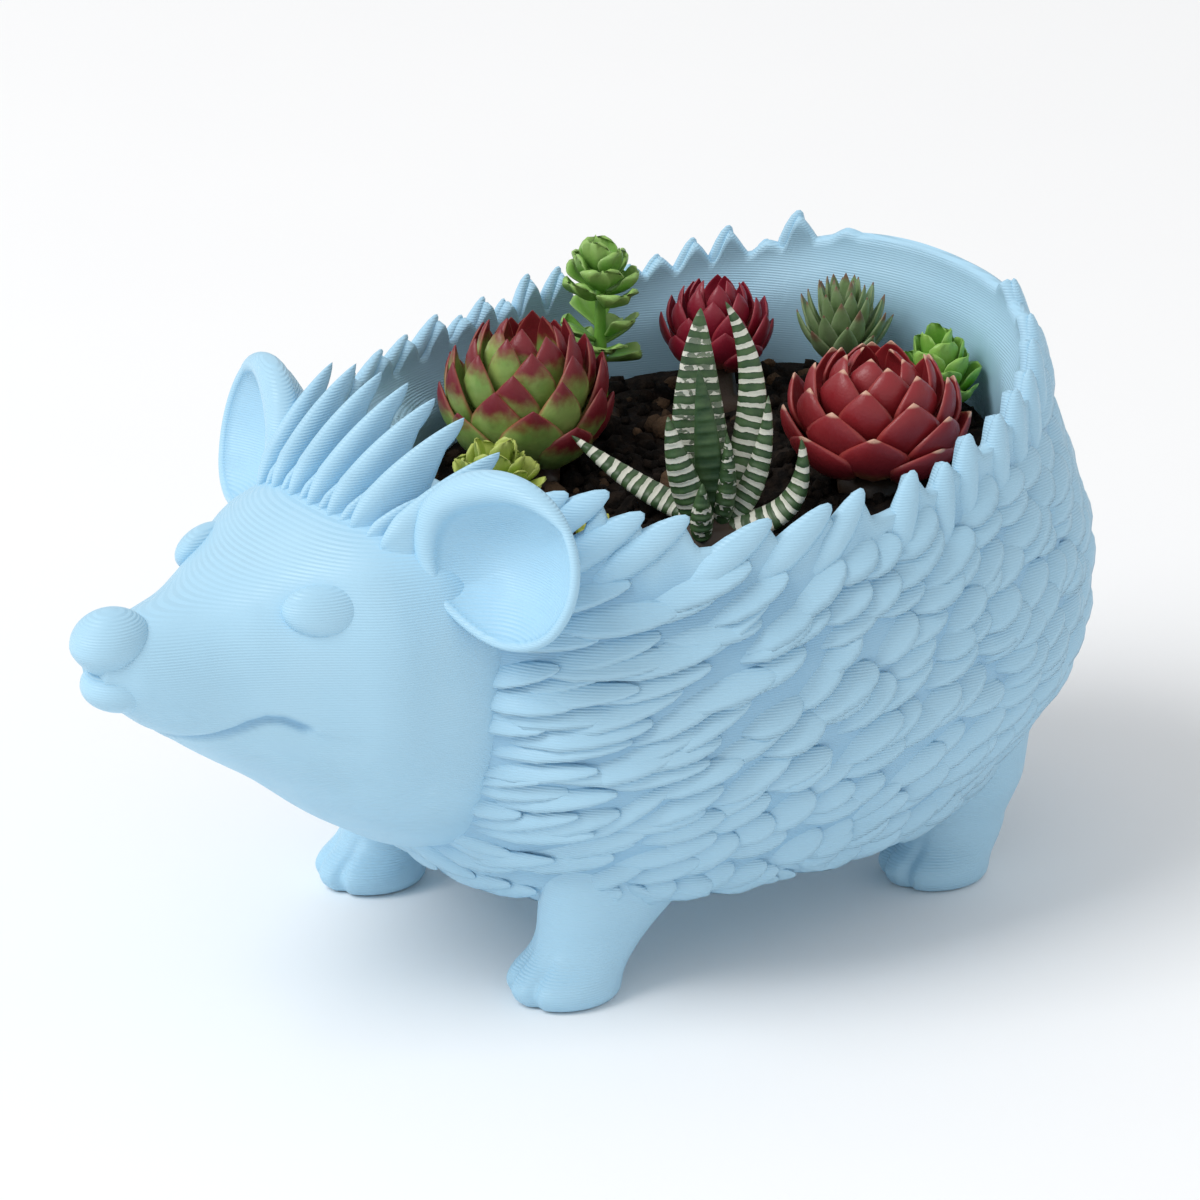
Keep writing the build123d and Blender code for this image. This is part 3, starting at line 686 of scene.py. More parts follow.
# %% Brow fringe
def blades(roots, tips, half_width, depth, arch, rows=24, around=16):
    """Blades from roots to tips, side by side.

    With t from 0 to 1, the ridge is a quadratic curve raised by arch in its middle. Its half width
    swells as a power of t and closes in a point at the tip. The upper side is a tall half oval, and
    the lower side widens as it reaches down, by a depth that falls to a fifth at the tip.
    """
    t = np.linspace(0.02, 0.985, rows)[None, :, None]
    crowns = (roots + tips) / 2 + np.array([0, -arch, arch])
    path = (1 - t) ** 2 * roots[:, None] + 2 * t * (1 - t) * crowns[:, None] + t ** 2 * tips[:, None]
    run = 2 * (1 - t) * (crowns - roots)[:, None] + 2 * t * (tips - crowns)[:, None]
    run = run / np.linalg.norm(run, axis=2, keepdims=True)
    side = np.cross(run, [0, 0, 1])
    side = side / np.linalg.norm(side, axis=2, keepdims=True)
    high = np.cross(side, run)
    close = np.clip(1 - (np.clip(t - 0.35, 0, 1) / 0.65) ** 1.7, 0, 1) ** 0.8
    wide = half_width * np.minimum(t / 0.22, 1) ** 0.5 * close
    deep = depth * np.minimum(t / 0.3, 1) * (1 - 0.82 * np.clip((t - 0.42) / 0.4, 0, 1) ** 1.2)
    deep = deep * np.sqrt(np.clip(1 - (np.clip(t - 0.86, 0, 1) / 0.14) ** 2, 0, 1))
    turn = np.linspace(0, 2 * np.pi, around, endpoint=False)[None, None, :, None]
    over, under = np.clip(np.sin(turn), 0, None), np.clip(-np.sin(turn), 0, None)
    wide, deep = wide[:, :, None], deep[:, :, None]
    across = np.cos(turn) * (1 + 0.9 * under)
    rings = path[:, :, None] + wide * (across * side[:, :, None] + 1.6 * over * high[:, :, None])
    return skin(rings - deep * under * np.array([0, 0, 1.0]), roots, tips)


FRINGE_TIPS = np.array([(-17.2, 70.0), (-12.2, 71.3), (-6.8, 71.9), (-1.4, 72.1), (4.0, 71.8), (9.8, 71.1),
                        (16.8, 69.0)])
FRINGE_TIP_Y = -22.6
HAIRLINE_FAN = 0.74


def hairline(x):
    """Roots of the fringe: the hairline runs nearly straight across the brow."""
    y = -37.2 + 0.006 * x ** 2
    return np.stack([x, y, head_top(x, y) - 0.5], -1)


tip_x, tip_z = FRINGE_TIPS.T
long_tips = np.stack([tip_x, FRINGE_TIP_Y + 0 * tip_x, tip_z], -1)
locks = blades(hairline(HAIRLINE_FAN * tip_x), long_tips, 1.35, 8.5, 0.2)
between = (tip_x[1:] + tip_x[:-1]) / 2
short_tips = np.stack([0.9 * between, -28.5 + 0 * between, 64.9 - 0.006 * between ** 2], -1)
strands = blades(hairline(HAIRLINE_FAN * between), short_tips, 0.75, 4.0, 0.2, 16, 12)
side_x = np.array([-15.2, -13.6, 13.6, 15.2])
side_roots = np.stack([side_x * 0.93, -33.0 + 0 * side_x, head_top(side_x * 0.93, -33.0) - 0.6], -1)
side_tips = np.stack([side_x * 1.25, -23.5 + 0 * side_x, 63.3 + 0.8 * (np.abs(side_x) < 14)], -1)
tufts = blades(side_roots, side_tips, 1.1, 5.0, 0.4, 16, 12)
make_piece("brow_fringe", [locks, strands, tufts], print_finish, "pot", "brow_fringe")

# %% [markdown]
# The legs are stout. Level ovals stacked from the sole to the thigh make the leg, and two grooves
# pressed into the front of the lowest ones part three toes. The front thighs lean back into the
# belly, and the rear ones go straight up.

# %% Legs
LEG_Z = [0.0, 1.1, 2.9, 5.2, 7.6, 12.3, 21.8]
LEG_HALF_LENGTH = [6.3, 7.1, 7.3, 6.8, 7.7, 10.4, 12.0]
LEG_HALF_WIDTH = [5.8, 6.3, 6.4, 5.6, 5.4, 6.6, 7.2]
LEG_SET_BACK = [-0.9, -1.0, -1.1, 1.2, 3.1, 6.3, 7.8]


def leg(side, foot_y, lean):
    """Ovals from sole to thigh; lean shares out how far the thigh grows and sets back above the ankle.

    Each toe groove is a bell curve in the turn from straight ahead.
    """
    z = np.concatenate([[0.0, 0.35], np.linspace(0.8, 21.8, 46)])
    length, width, back = (np.interp(z[:, None] + np.linspace(-1, 1, 9), LEG_Z, v).mean(1)[:, None] for v in (
        LEG_HALF_LENGTH, LEG_HALF_WIDTH, LEG_SET_BACK))
    thigh = np.clip((z[:, None] - 3.5) / 4.0, 0, 1) * (1 - lean)
    length, back = length - thigh * (length - 6.4), back - thigh * (back - 0.6)
    edge = np.where(z < 0.1, 0.9, np.where(z < 0.5, 0.25, 0.0))[:, None]
    turn = np.linspace(-np.pi, np.pi, 120, endpoint=False)
    low = np.exp(-((z[:, None] - 2.2) / 3.6) ** 2)
    groove = sum(np.exp(-((turn - t) / 0.13) ** 2) for t in (-0.36, 0.36))
    swell = 1 + low * (0.05 * np.cos(turn) - 0.13 * groove)
    x = side * 20.2 + (width - edge) * np.sin(turn) * swell
    y = foot_y + back - (length - edge) * np.cos(turn) * swell
    return one_skin(np.stack([x, y, z[:, None] + 0 * x], -1))


for name, side, foot_y, lean in (("front_left_leg", 1, -14.8, 1.0), ("front_right_leg", -1, -14.8, 1.0),
                                 ("rear_left_leg", 1, 41.8, 0.4), ("rear_right_leg", -1, 41.8, 0.4)):
    make_piece(name, [leg(side, foot_y, lean)], print_finish, "pot", name)

# %% [markdown]
# Under the plants lies a bed of rounded gravel, and on it a block of dark soil that roots hold
# together. Stones and crumbs are small rough lumps of a few dozen faces, because there are hundreds
# of them. The soil's top is a grid with broad lumps, a rough surface and a socket for each plant's
# roots.

# %% Gravel
GRAVEL_TOP = 23.3
PLANTS = {
    "green_houseleek": (-17.40, 5.71, 4.5), "red_houseleek": (14.60, 34.32, 4.5),
    "small_red_houseleek": (-19.00, 36.00, 4.5), "spiky_houseleek": (-8.20, 47.50, 2.6),
    "pale_rosette": (-5.99, -7.22, 2.6), "rear_rosette": (6.82, 49.18, 2.6),
    "leafy_sprig": (-24.91, 22.51, 2.6), "zebra_haworthia": (12.01, 12.00, 4.5),
    "stonecrop": (10.38, -3.03, 2.6),
}
GOLDEN_TURN = math.pi * (3 - math.sqrt(5))


def soil_level(y):
    """The soil is banked up towards the rump by six degrees."""
    return 46.7 + (y + 17.6) * math.tan(math.radians(6.0))


def lumpy(x, y, size, seed):
    """Rough ground from -1 to 1: a sum of waves in all directions, with lengths round one size."""
    waves = np.random.default_rng(seed)
    total = 0 * x
    for angle, phase, scale in waves.uniform([0, 0, 0.6], [2 * np.pi, 2 * np.pi, 1.6], (24, 3)):
        total = total + np.sin((x * np.cos(angle) + y * np.sin(angle)) * 2 * np.pi / (size * scale) + phase)
    return total / 9


def lumps(middles, sizes, seed, rows=4, around=7):
    """Rough small lumps: balls whose points are pushed in or out at random, each turned its own way."""
    draw = np.random.default_rng(seed)
    count = len(middles)
    lift = np.linspace(0, np.pi, rows + 2)[1:-1, None]
    turn = np.linspace(0, 2 * np.pi, around, endpoint=False)
    ball = unit_ball(lift, turn)[None] * draw.uniform(0.75, 1.2, (count, rows, around, 1))
    ball = ball * draw.uniform(0.65, 1.0, (count, 1, 1, 3))
    spin = np.linalg.qr(draw.normal(size=(count, 3, 3)))[0]
    rings = np.einsum("crax,cxy->cray", ball, spin) * sizes[:, None, None, None] + middles[:, None, None]
    pole = spin[:, 2] * sizes[:, None] * 0.85
    tone = np.broadcast_to(draw.uniform(0, 1, (count, 1, 1)), (count, rows, around))
    return skin(rings, middles + pole, middles - pole, tone=tone)


gravel_finish, tree, shader = new_finish("gravel", 0.75, 0.35)
stone = mixed(tree, mark(tree, "tone"), (0.30, 0.27, 0.24), (0.58, 0.54, 0.48))
stone = mixed(tree, spread(tree, mottle(tree, 1.2), 0.35, 0.65), stone, (0.42, 0.38, 0.33))
put(tree, shader.inputs["Base Color"], stone)
roughen(tree, shader, mottle(tree, 0.5, 5.0), 0.12)

draw = np.random.default_rng(5)
spots = draw.uniform([-33, -12, 17.0], [33, 57, 21.8], (2600, 3))
reach = np.where(spots[:, 1] < WIDEST_Y, 27.0, 31.0)
spots = spots[(spots[:, 0] / 27.0) ** 2 + ((spots[:, 1] - WIDEST_Y) / reach) ** 2 < 1]
kept = []
for spot in spots:
    if all(np.linalg.norm(spot - other) > 3.1 for other in kept):
        kept.append(spot)
kept = np.array(kept)
stones = lumps(kept, draw.uniform(1.5, 1.95, len(kept)), 6)
stones["points"][:, 2] = np.clip(stones["points"][:, 2], FLOOR_Z + 0.1, GRAVEL_TOP)
make_piece("drainage_gravel", [stones], gravel_finish, "pot", "drainage_gravel")

# %% Soil
soil_finish, tree, shader = new_finish("dark_soil", 0.95, 0.15)
clouds = spread(tree, mottle(tree, 1.4, 6.0), 0.35, 0.7)
earth = mixed(tree, clouds, (0.005, 0.004, 0.0035), (0.020, 0.013, 0.009))
earth = mixed(tree, spread(tree, mark(tree, "tone"), 0.80, 1.0), earth, (0.10, 0.06, 0.035))
put(tree, shader.inputs["Base Color"], earth)
roughen(tree, shader, mottle(tree, 0.7, 8.0), 0.5)

SOIL_GAP = 0.35
LUMP_COUNT, LUMP_RADIUS, LUMP_RISE, LUMP_SPREAD = 30, 4.0, 1.1, 0.8


def broad_lumps(x, y):
    """Height of the measured lumps: caps of balls that stand a golden turn apart."""
    height = 0 * x
    for number in range(LUMP_COUNT):
        turn, share = number * GOLDEN_TURN, LUMP_SPREAD * math.sqrt((number + 0.5) / LUMP_COUNT)
        reach = HOLLOW[2][2] - WIDEST_Y if math.sin(turn) > 0 else WIDEST_Y - HOLLOW[1][2]
        px, py = share * HOLLOW[0][2] * math.cos(turn), WIDEST_Y + share * reach * math.sin(turn)
        cap = np.sqrt(np.clip(LUMP_RADIUS ** 2 - (x - px) ** 2 - (y - py) ** 2, 0, None))
        height = np.maximum(height, cap - LUMP_RADIUS + LUMP_RISE)
    return height


def soil_skin():
    """Top from the middle out to the wall, then the sides down to the gravel; sockets are steep dips."""
    turn = np.linspace(0, 2 * np.pi, 220, endpoint=False)
    out = np.linspace(0.012, 1, 84)[:, None]
    ex, ey = hollow_outline(turn, 53.8)
    pinch = 1 - SOIL_GAP / 34.0
    x, y = out * ex * pinch, WIDEST_Y + out * (ey - WIDEST_Y) * pinch
    rough = 0.3 * lumpy(x, y, 5.0, 3) + 0.35 * lumpy(x, y, 2.2, 4)
    z = soil_level(y) + broad_lumps(x, y) + rough * np.clip((1 - out) * 12, 0.3, 1)
    for px, py, radius in PLANTS.values():
        z = z - 11.0 * np.clip((radius + 0.7 - np.hypot(x - px, y - py)) / 0.8, 0, 1)
    top = np.stack([x, y, z], -1)
    down = np.linspace(0.06, 1, 22)[:, None]
    edge_z = top[-1][:, 2]
    side_z = edge_z + down * (GRAVEL_TOP - edge_z)
    sx, sy = hollow_outline(turn, side_z)
    rough = pinch - 0.012 * np.clip(lumpy(turn * 34, side_z, 3.0, 8) + 0.4, 0, 1)
    sides = np.stack([sx * rough, WIDEST_Y + (sy - WIDEST_Y) * rough, side_z], -1)
    return one_skin(np.concatenate([top, sides]))


draw = np.random.default_rng(9)
spread_out = np.sqrt(draw.uniform(0, 0.93, 900))
turns = draw.uniform(0, 2 * np.pi, 900)
ex, ey = hollow_outline(turns, 53.8)
crumb_x, crumb_y = spread_out * ex, WIDEST_Y + spread_out * (ey - WIDEST_Y)
clear = np.all([np.hypot(crumb_x - px, crumb_y - py) > r + 1.6 for px, py, r in PLANTS.values()], 0)
crumb_x, crumb_y = crumb_x[clear], crumb_y[clear]
crumb_z = soil_level(crumb_y) + broad_lumps(crumb_x, crumb_y) + draw.uniform(-0.2, 0.5, crumb_x.size)
crumbs = np.stack([crumb_x, crumb_y, crumb_z], -1)
crumb_lumps = lumps(crumbs, draw.gamma(4.0, 0.2, len(crumbs)) + 0.25, 10, 3, 6)
make_piece("potting_soil", [soil_skin(), crumb_lumps], soil_finish, "soil", "potting_soil")

# %% [markdown]
# Every plant is a crown of leaves. A leaf is a thin oval carried along a bent path. All the leaves of
# a crown are worked out together, and each point remembers how far along its leaf it lies and how
# near the edge, so that the finish can redden the tips and pale the margins.

# %% Leaves and roots
BAND_STEP = 1.5


def leaves(root, bend, tip, facing, half_width, thick, grow, close, cup, rows=12, around=12, scallop=0.0,
           tone=0.0, band=0.0):
    """Leaves along quadratic curves, with root, bend, tip and the way the upper face looks as (leaves, 3).

    With u from 0 to 1 the half width is u to the power grow times 1 - u to the power close, scaled to 1
    at its widest. Across, the leaf is an oval whose edges rise by cup. scallop waves the far edge, and
    band raises cross ridges of that height.
    """
    u = np.linspace(0.03, 0.985, rows)[None, :, None]
    path = (1 - u) ** 2 * root[:, None] + 2 * u * (1 - u) * bend[:, None] + u ** 2 * tip[:, None]
    run = (1 - u) * (bend - root)[:, None] + u * (tip - bend)[:, None]
    run = run / np.linalg.norm(run, axis=2, keepdims=True)
    sideways = np.cross(run, facing[:, None])
    sideways = sideways / np.linalg.norm(sideways, axis=2, keepdims=True)
    upper = np.cross(sideways, run)
    peak = grow / (grow + close)
    wide = u ** grow * (1 - u) ** close / (peak ** grow * (1 - peak) ** close) * half_width[:, None, None]
    body = u ** 0.25 * (1 - u) ** 0.5 / 0.68 * thick[:, None, None]
    spin = np.linspace(0, 2 * np.pi, around, endpoint=False)[None, None]
    side = np.cos(spin)
    length = np.linalg.norm(tip - root, axis=1)[:, None, None]
    ridge = band * np.clip(np.sin(2 * np.pi * u * length / BAND_STEP), 0, 1) * (u < 0.95)
    deep = (body + ridge) * np.sin(spin) + cup * wide * side ** 2
    deep = deep + 0.7 * scallop * wide * u * np.sin(8.0 * side)
    ahead = scallop * wide * u ** 3 * np.cos(9.0 * side)
    rings = path[:, :, None] + (wide * side)[..., None] * sideways[:, :, None]
    rings = rings + deep[..., None] * upper[:, :, None] + ahead[..., None] * run[:, :, None]
    shape = rings.shape[:3]
    tone = np.broadcast_to(tone, len(root))[:, None, None]
    return skin(rings, root, tip, along=np.broadcast_to(u, shape), side=np.broadcast_to(side, shape),
                tone=np.broadcast_to(tone, shape), reach=np.broadcast_to(u * length, shape))


def around_axis(middle, turn, away, height):
    """Points at a turn, a distance from the axis and a height over a middle."""
    return middle + np.stack([away * np.cos(turn), away * np.sin(turn), height + 0 * turn], -1)


def column(points, radii, around=16):
    """A round stalk through a list of points, upright rings of the given radii; all of it marked as root."""
    turn = np.linspace(0, 2 * np.pi, around, endpoint=False)
    size = np.asarray(radii, float)[:, None] * (1 + 0.06 * np.sin(5 * turn))
    points = np.asarray(points, float)
    rings = np.stack([points[:, :1] + size * np.cos(turn), points[:, 1:2] + size * np.sin(turn),
                      points[:, 2:] + 0 * turn], -1)
    return one_skin(rings, root=np.ones(rings.shape[:2]))


def crown_base(name, lift=0.0):
    """The point over the soil that a plant's crown grows from."""
    x, y, _ = PLANTS[name]
    return np.array([x, y, soil_level(y) + lift])


def root_plug(name, lift):
    """A tapered plug of roots in the plant's socket, with a short brown neck up to the crown."""
    radius = PLANTS[name][2]
    foot = crown_base(name)
    levels = np.array([-11.3, -8.0, -4.0, 0.4, 1.0, 1.4 + lift, 2.2 + lift])
    radii = radius * np.array([0.70, 0.78, 0.87, 0.96, 0.62, 0.5, 0.3])
    return column(foot + levels[:, None] * [0, 0, 1], radii, 28)


# %% [markdown]
# Leaf finishes differ only in their colours: a base, a tip colour that comes in along the leaf, a
# margin at the edges and a pale point, with cloudy variation and a waxy gloss. Roots are brown.

# %% Leaf finishes
ROOT_BROWN = (0.05, 0.03, 0.018)


def leaf_finish(name, base, deep, tip, margin, tip_from, tip_to, margin_share, point=None, gloss=0.4):
    """Base and deep colours in clouds, the tip colour past a share of the length, the margin at the sides."""
    finish, tree, shader = new_finish(name, gloss, 0.45)
    body = mixed(tree, spread(tree, mottle(tree, 3.0), 0.35, 0.68), base, deep)
    along = maths(tree, "SUBTRACT", mark(tree, "along"), 0.2)
    along = maths(tree, "MULTIPLY_ADD", mark(tree, "tone"), 0.4, along)
    along = maths(tree, "MULTIPLY_ADD", mottle(tree, 1.3), 0.2, maths(tree, "SUBTRACT", along, 0.1))
    body = mixed(tree, spread(tree, along, tip_from, tip_to), body, tip)
    edge = spread(tree, maths(tree, "ABSOLUTE", mark(tree, "side")), 0.86, 1.0, 0.0, margin_share)
    body = mixed(tree, edge, body, margin)
    body = mixed(tree, spread(tree, mark(tree, "along"), 0.945, 0.975), body, tip if point is None else point)
    put(tree, shader.inputs["Base Color"], mixed(tree, mark(tree, "root"), body, ROOT_BROWN))
    sheen = spread(tree, mottle(tree, 0.8), 0.3, 0.7, gloss - 0.06, gloss + 0.1)
    put(tree, shader.inputs["Roughness"], sheen)
    roughen(tree, shader, mottle(tree, 0.35, 4.0), 0.04)
    return finish


def make_plant(name, skins, finish, lift=0.0):
    """A plant with its plug of roots, on its own body."""
    return make_piece(name, [*skins, root_plug(name, lift)], finish, name, name)


PALE_POINT = (0.62, 0.36, 0.26)
green_leek = leaf_finish("green_houseleek", (0.33, 0.45, 0.12), (0.22, 0.36, 0.08), (0.20, 0.014, 0.022),
                         (0.36, 0.10, 0.06), 0.60, 0.80, 0.75)
red_leek = leaf_finish("red_houseleek", (0.33, 0.14, 0.05), (0.34, 0.05, 0.03), (0.27, 0.020, 0.026),
                       (0.44, 0.09, 0.07), 0.26, 0.50, 0.45, PALE_POINT, 0.36)
small_leek = leaf_finish("small_red_houseleek", (0.36, 0.10, 0.06), (0.33, 0.03, 0.04), (0.25, 0.012, 0.03),
                         (0.36, 0.05, 0.06), 0.2, 0.6, 0.5)
spiky_leek = leaf_finish("spiky_houseleek", (0.17, 0.27, 0.11), (0.23, 0.33, 0.16), (0.20, 0.11, 0.07),
                         (0.32, 0.38, 0.22), 0.86, 1.02, 0.5)
pale_leaf = leaf_finish("pale_rosette", (0.40, 0.52, 0.08), (0.31, 0.45, 0.06), (0.48, 0.56, 0.13),
                        (0.53, 0.58, 0.18), 0.6, 1.0, 0.5)
rear_leaf = leaf_finish("rear_rosette", (0.17, 0.42, 0.05), (0.11, 0.32, 0.035), (0.28, 0.52, 0.10),
                        (0.34, 0.56, 0.16), 0.6, 1.0, 0.6)
sprig_leaf = leaf_finish("leafy_sprig", (0.19, 0.40, 0.07), (0.13, 0.32, 0.045), (0.30, 0.50, 0.13),
                         (0.38, 0.56, 0.20), 0.55, 1.0, 0.6)
stone_leaf = leaf_finish("stonecrop", (0.42, 0.50, 0.08), (0.34, 0.44, 0.06), (0.50, 0.50, 0.12),
                         (0.50, 0.52, 0.14), 0.6, 1.0, 0.4)

# %% [markdown]
# A houseleek is a globe. Each leaf stands a golden turn on from the last, bulges out along the globe
# and ends at a tip that lies on it, the outer ones low at the side and the inner ones over the heart.

# %% Houseleeks
def houseleek(middle, radius, height, count, width, seed, low=100.0, high=14.0, grow=1.25, close=0.75,
              cup=0.25, bulge=1.32, redder=0.0):
    """A globe of leaves: tips at a fall from the top that shrinks towards the heart.

    A tip's distance from the axis is the sine of its fall and its height the cosine; the bend of its
    path lies half a right angle further down. redder makes the leaves on one side more so.
    """
    draw = np.random.default_rng(seed)
    q = (np.arange(count) + 0.5) / count
    turn = np.arange(count) * GOLDEN_TURN + draw.normal(0, 0.07, count)
    fall = np.radians(low + (high - low) * q ** 0.8)
    lower = np.minimum(fall + math.radians(50), math.radians(138))
    root = around_axis(middle, turn, 0.22 * radius * (1 - q), height * (0.03 + 0.22 * q))
    bend = around_axis(middle, turn, radius * (bulge - 0.72 * q) * np.sin(lower),
                       height * (0.5 + 0.5 * np.cos(lower)))
    tip = around_axis(middle, turn, radius * np.sin(fall) * draw.uniform(0.93, 1.0, count),
                      height * (0.5 + 0.5 * np.cos(fall)) * draw.uniform(0.95, 1.0, count))
    facing = around_axis(0.0, turn, -1.0, 0.7)
    tone = np.clip(0.5 + redder * np.sin(turn) + draw.uniform(-0.3, 0.3, count), 0, 1)
    half = width * radius * (1 - 0.45 * q) * draw.uniform(0.9, 1.08, count)
    return leaves(root, bend, tip, facing, half, 0.075 * radius * (1 - 0.3 * q), grow, close, cup, tone=tone)


for name, lift, neck, finish, sizes in (
        ("green_houseleek", 1.6, 1.0, green_leek,
         (11.4, 19.2, 42, 0.36, 31, 100, 10, 1.35, 1.0, 0.25, 1.32, 0.35)),
        ("red_houseleek", 0.4, 0.0, red_leek, (12.0, 16.4, 34, 0.43, 32, 104, 6, 1.25, 0.95)),
        ("small_red_houseleek", 3.6, 3.0, small_leek, (7.5, 12.2, 30, 0.38, 33, 100, 10, 1.25, 0.95)),
        ("spiky_houseleek", 4.2, 3.6, spiky_leek,
         (6.6, 11.2, 38, 0.25, 34, 96, 10, 0.8, 0.95, 0.2, 1.0))):
    make_plant(name, [houseleek(crown_base(name, lift), *sizes)], finish, neck)

# %% [markdown]
# The low rosettes and the sprig have broad rounded leaves with wavy ends, so their outline closes
# late and a ripple runs along it.

# %% Rosettes and sprig
def spiral(middle, turn, start, reach, foot, rise, half, sag=0.45, scallop=0.12, cup=0.3, tone=0.5):
    """Rounded leaves up a stalk: each starts at a height, reaches out and rises; sag keeps the bend low."""
    root = around_axis(middle, turn, foot, start)
    bend = around_axis(middle, turn, 0.72 * reach, start + (1 - sag) * rise * 0.8)
    tip = around_axis(middle, turn, reach, start + rise)
    facing = around_axis(0.0, turn, -0.6, 1.0)
    return leaves(root, bend, tip, facing, half, 0.16 * half, 1.0, 0.30, cup, 12, 20, scallop, tone)


draw = np.random.default_rng(41)
q = (np.arange(14) + 0.5) / 14
pale = spiral(crown_base("pale_rosette", 5.6), np.arange(14) * GOLDEN_TURN + 0.4, 0.8 * q,
              6.5 * (1 - 0.72 * q), 0.5, 1.8 + 4.6 * q, 3.3 * (1 - 0.4 * q), 0.6, 0.16,
              tone=draw.uniform(0, 1, 14))
make_plant("pale_rosette", [pale], pale_leaf, 4.6)

q = (np.arange(18) + 0.5) / 18
rear = spiral(crown_base("rear_rosette", 2.6) + [0.4, 0.8, 0], np.arange(18) * GOLDEN_TURN, 2.4 * q,
              6.0 * (1 - 0.8 * q ** 1.3), 0.5, 2.6 + 5.0 * q ** 0.7, 3.1 * (1 - 0.45 * q), 0.75, 0.1, 0.45,
              draw.uniform(0, 1, 18))
make_plant("rear_rosette", [rear], rear_leaf, 2.0)

foot = crown_base("leafy_sprig")
q = (np.arange(11) + 0.5) / 11
top_leaves = spiral(foot, np.arange(11) * GOLDEN_TURN, 14.6 + 4.4 * q, 5.2 * (1 - 0.65 * q ** 1.5), 0.4,
                    2.2 + 2.4 * q, 3.1 * (1 - 0.25 * q), 0.7, 0.26, 0.35, draw.uniform(0, 1, 11))
q = (np.arange(7) + 0.5) / 7
low_leaves = spiral(foot, np.arange(7) * GOLDEN_TURN + 1.0, 7.0 + 4.6 * q, 5.0 - 0.4 * q, 0.5,
                    0.8 + 2.4 * q, 2.9 + 0 * q, 0.2, 0.22, 0.3, draw.uniform(0, 1, 7))
stalk_levels = np.linspace(0, 19.0, 12)
stalk = column(foot + stalk_levels[:, None] * [0, 0, 1], 1.1 - 0.03 * stalk_levels, 12)
stalk["marks"]["root"] = 0 * stalk["marks"]["root"]
make_plant("leafy_sprig", [stalk, low_leaves, top_leaves], sprig_leaf)

shoots = [(0, 0, 1.0), (2.6, 0.8, 0.85), (-2.2, 1.4, 0.85), (0.8, -2.6, 0.8), (-1.6, -2.0, 0.75),
          (1.2, 2.6, 0.7)]
q = (np.arange(14) + 0.5) / 14
stone_shoots = [spiral(crown_base("stonecrop", 0.6) + [dx, dy, 0], np.arange(14) * GOLDEN_TURN + dx,
                       3.2 * k * q, 2.3 * k * (1 - 0.7 * q), 0.3, 1.2 + 1.4 * q, 0.75 * k + 0 * q, 0.5, 0.0)
                for dx, dy, k in shoots]
make_plant("stonecrop", stone_shoots, stone_leaf)

# %% [markdown]
# The haworthia has stiff dark leaves with rows of raised white ridges. The ridges are in the mesh and
# the white is painted on them by the same distance along the leaf. Each leaf is set one by one, in
# millimetres to the right, up and towards the camera, because the photograph shows all of them.

# %% Zebra haworthia
zebra_finish, tree, shader = new_finish("zebra_haworthia", 0.4, 0.45)
dark = mixed(tree, spread(tree, mottle(tree, 2.0), 0.3, 0.7), (0.03, 0.07, 0.026), (0.065, 0.125, 0.045))
wobble = maths(tree, "MULTIPLY_ADD", mottle(tree, 2.2), 0.9, mark(tree, "reach"))
wave = maths(tree, "SINE", maths(tree, "MULTIPLY", wobble, 2 * math.pi / BAND_STEP))
dots = spread(tree, mottle(tree, 0.8, 1.0), 0.46, 0.54)
banded = spread(tree, mark(tree, "tone"), 0.5, 0.9)
broken = maths(tree, "MAXIMUM", dots, banded)
white = maths(tree, "MULTIPLY", maths(tree, "MULTIPLY", spread(tree, wave, 0.05, 0.35), broken),
              spread(tree, mark(tree, "tone"), 0.02, 0.3))
white = maths(tree, "MULTIPLY", white, spread(tree, mark(tree, "along"), 0.99, 0.93))
striped = mixed(tree, white, dark, (0.78, 0.77, 0.66))
put(tree, shader.inputs["Base Color"], mixed(tree, mark(tree, "root"), striped, ROOT_BROWN))
roughen(tree, shader, white, 0.15)

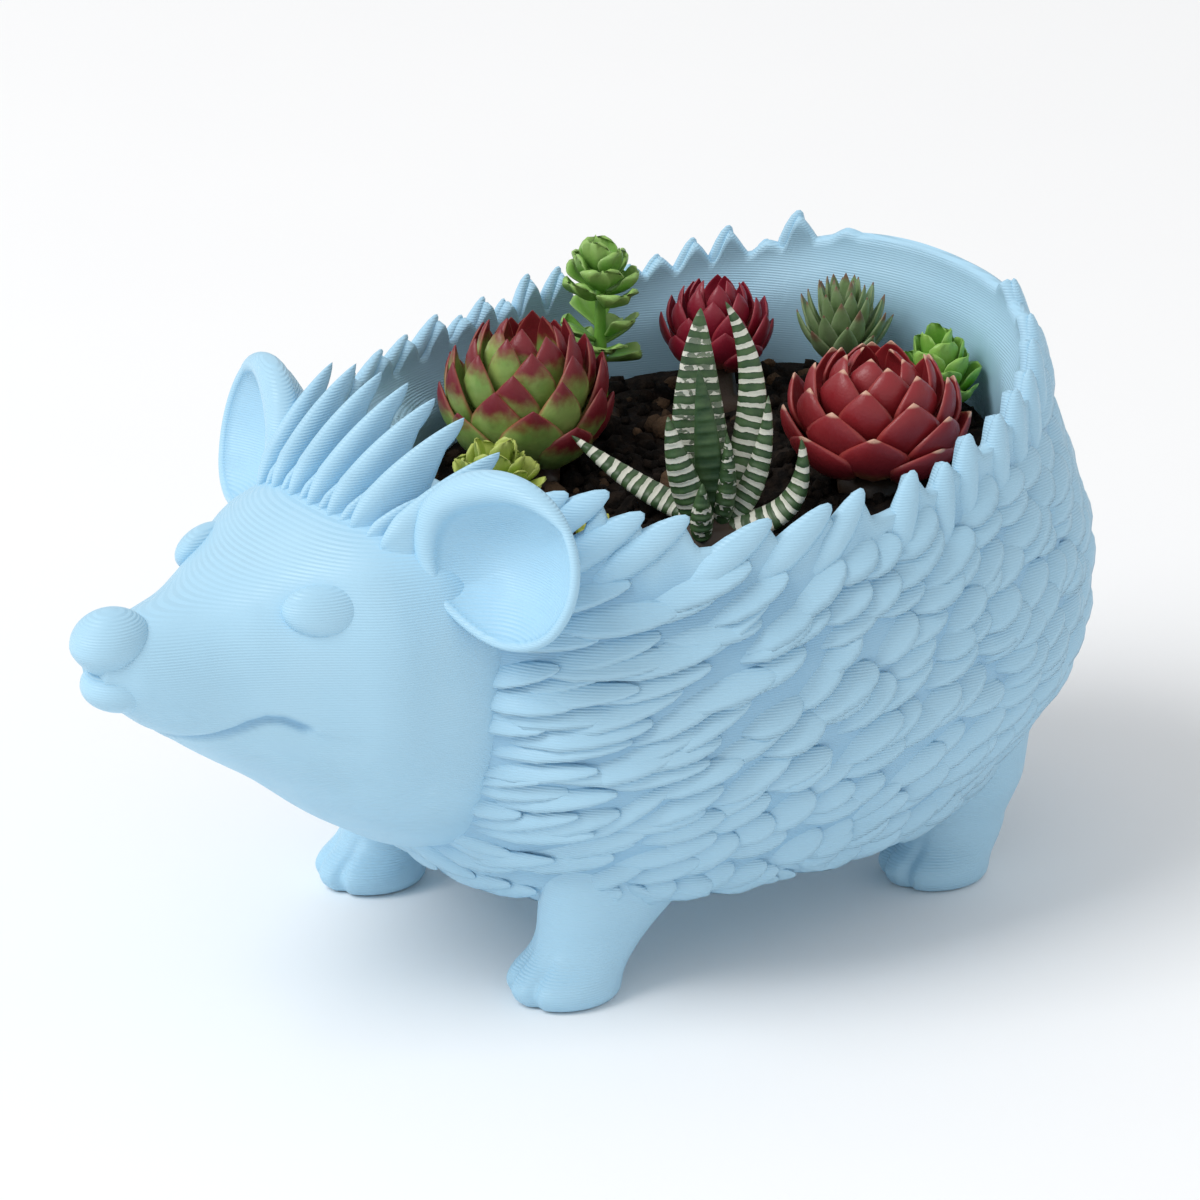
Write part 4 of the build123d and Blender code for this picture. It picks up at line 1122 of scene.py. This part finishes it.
RIGHT = np.array([math.cos(CAMERA_TURN), math.sin(CAMERA_TURN), 0.0])
NEARER = np.array([math.sin(CAMERA_TURN), -math.cos(CAMERA_TURN), 0.0])
BY_CAMERA = np.stack([RIGHT, [0, 0, 1.0], NEARER])
ZEBRA_LEAVES = [
    ((-0.3, 0.5, -1.0), (-2.8, 12.0, -3.0), (-1.7, 26.4, -3.5), (0.0, 0.3, 1.0), 3.5, 1.2, 0.62),
    ((0.5, 0.5, -1.2), (8.2, 15.0, -3.6), (1.2, 27.0, -4.0), (-0.3, 0.2, 1.0), 2.0, 1.1, 1.0),
    ((-0.3, 0.5, 0.5), (-0.6, 10.0, 1.2), (-2.0, 20.4, 0.6), (0.0, 0.2, 1.0), 1.75, 0.7, 0.0),
    ((-1.2, 0.5, 2.0), (-4.2, 6.5, 3.5), (-5.6, 15.0, 2.6), (0.3, 0.4, -1.0), 2.1, 1.2, 1.0),
    ((-1.5, -0.2, 4.0), (-1.7, 3.0, 4.6), (-1.5, 7.2, 4.3), (0.0, 0.3, -1.0), 1.35, 0.9, 0.45),
    ((1.0, 0.5, 0.0), (6.4, 5.0, 0.0), (6.3, 16.5, -0.5), (-0.3, 0.2, 1.0), 1.55, 1.0, 1.0),
    ((1.0, 0.3, 1.0), (12.0, 0.6, 1.5), (10.2, 11.6, 1.0), (-0.5, 0.6, 0.6), 1.8, 1.2, 1.0),
    ((0.6, 0.5, 1.2), (2.0, 6.0, 1.6), (1.4, 12.4, 1.3), (0.0, 0.2, -1.0), 1.2, 0.9, 0.5),
    ((-1.0, 0.8, -0.5), (-8.5, 2.4, -4.0), (-17.0, 8.8, -7.5), (0.3, 0.8, 0.6), 1.7, 1.2, 1.0),
]
root, bend, tip, facing = (np.array([row[k] for row in ZEBRA_LEAVES]) @ BY_CAMERA for k in range(4))
half, thick, bands = (np.array([row[k] for row in ZEBRA_LEAVES]) for k in (4, 5, 6))
base = crown_base("zebra_haworthia", 0.4)
zebra = leaves(base + root, base + bend, base + tip, facing, half, thick, 0.3, 0.75, 0.12, 90, 20,
               tone=bands, band=0.14)
make_plant("zebra_haworthia", [zebra], zebra_finish)
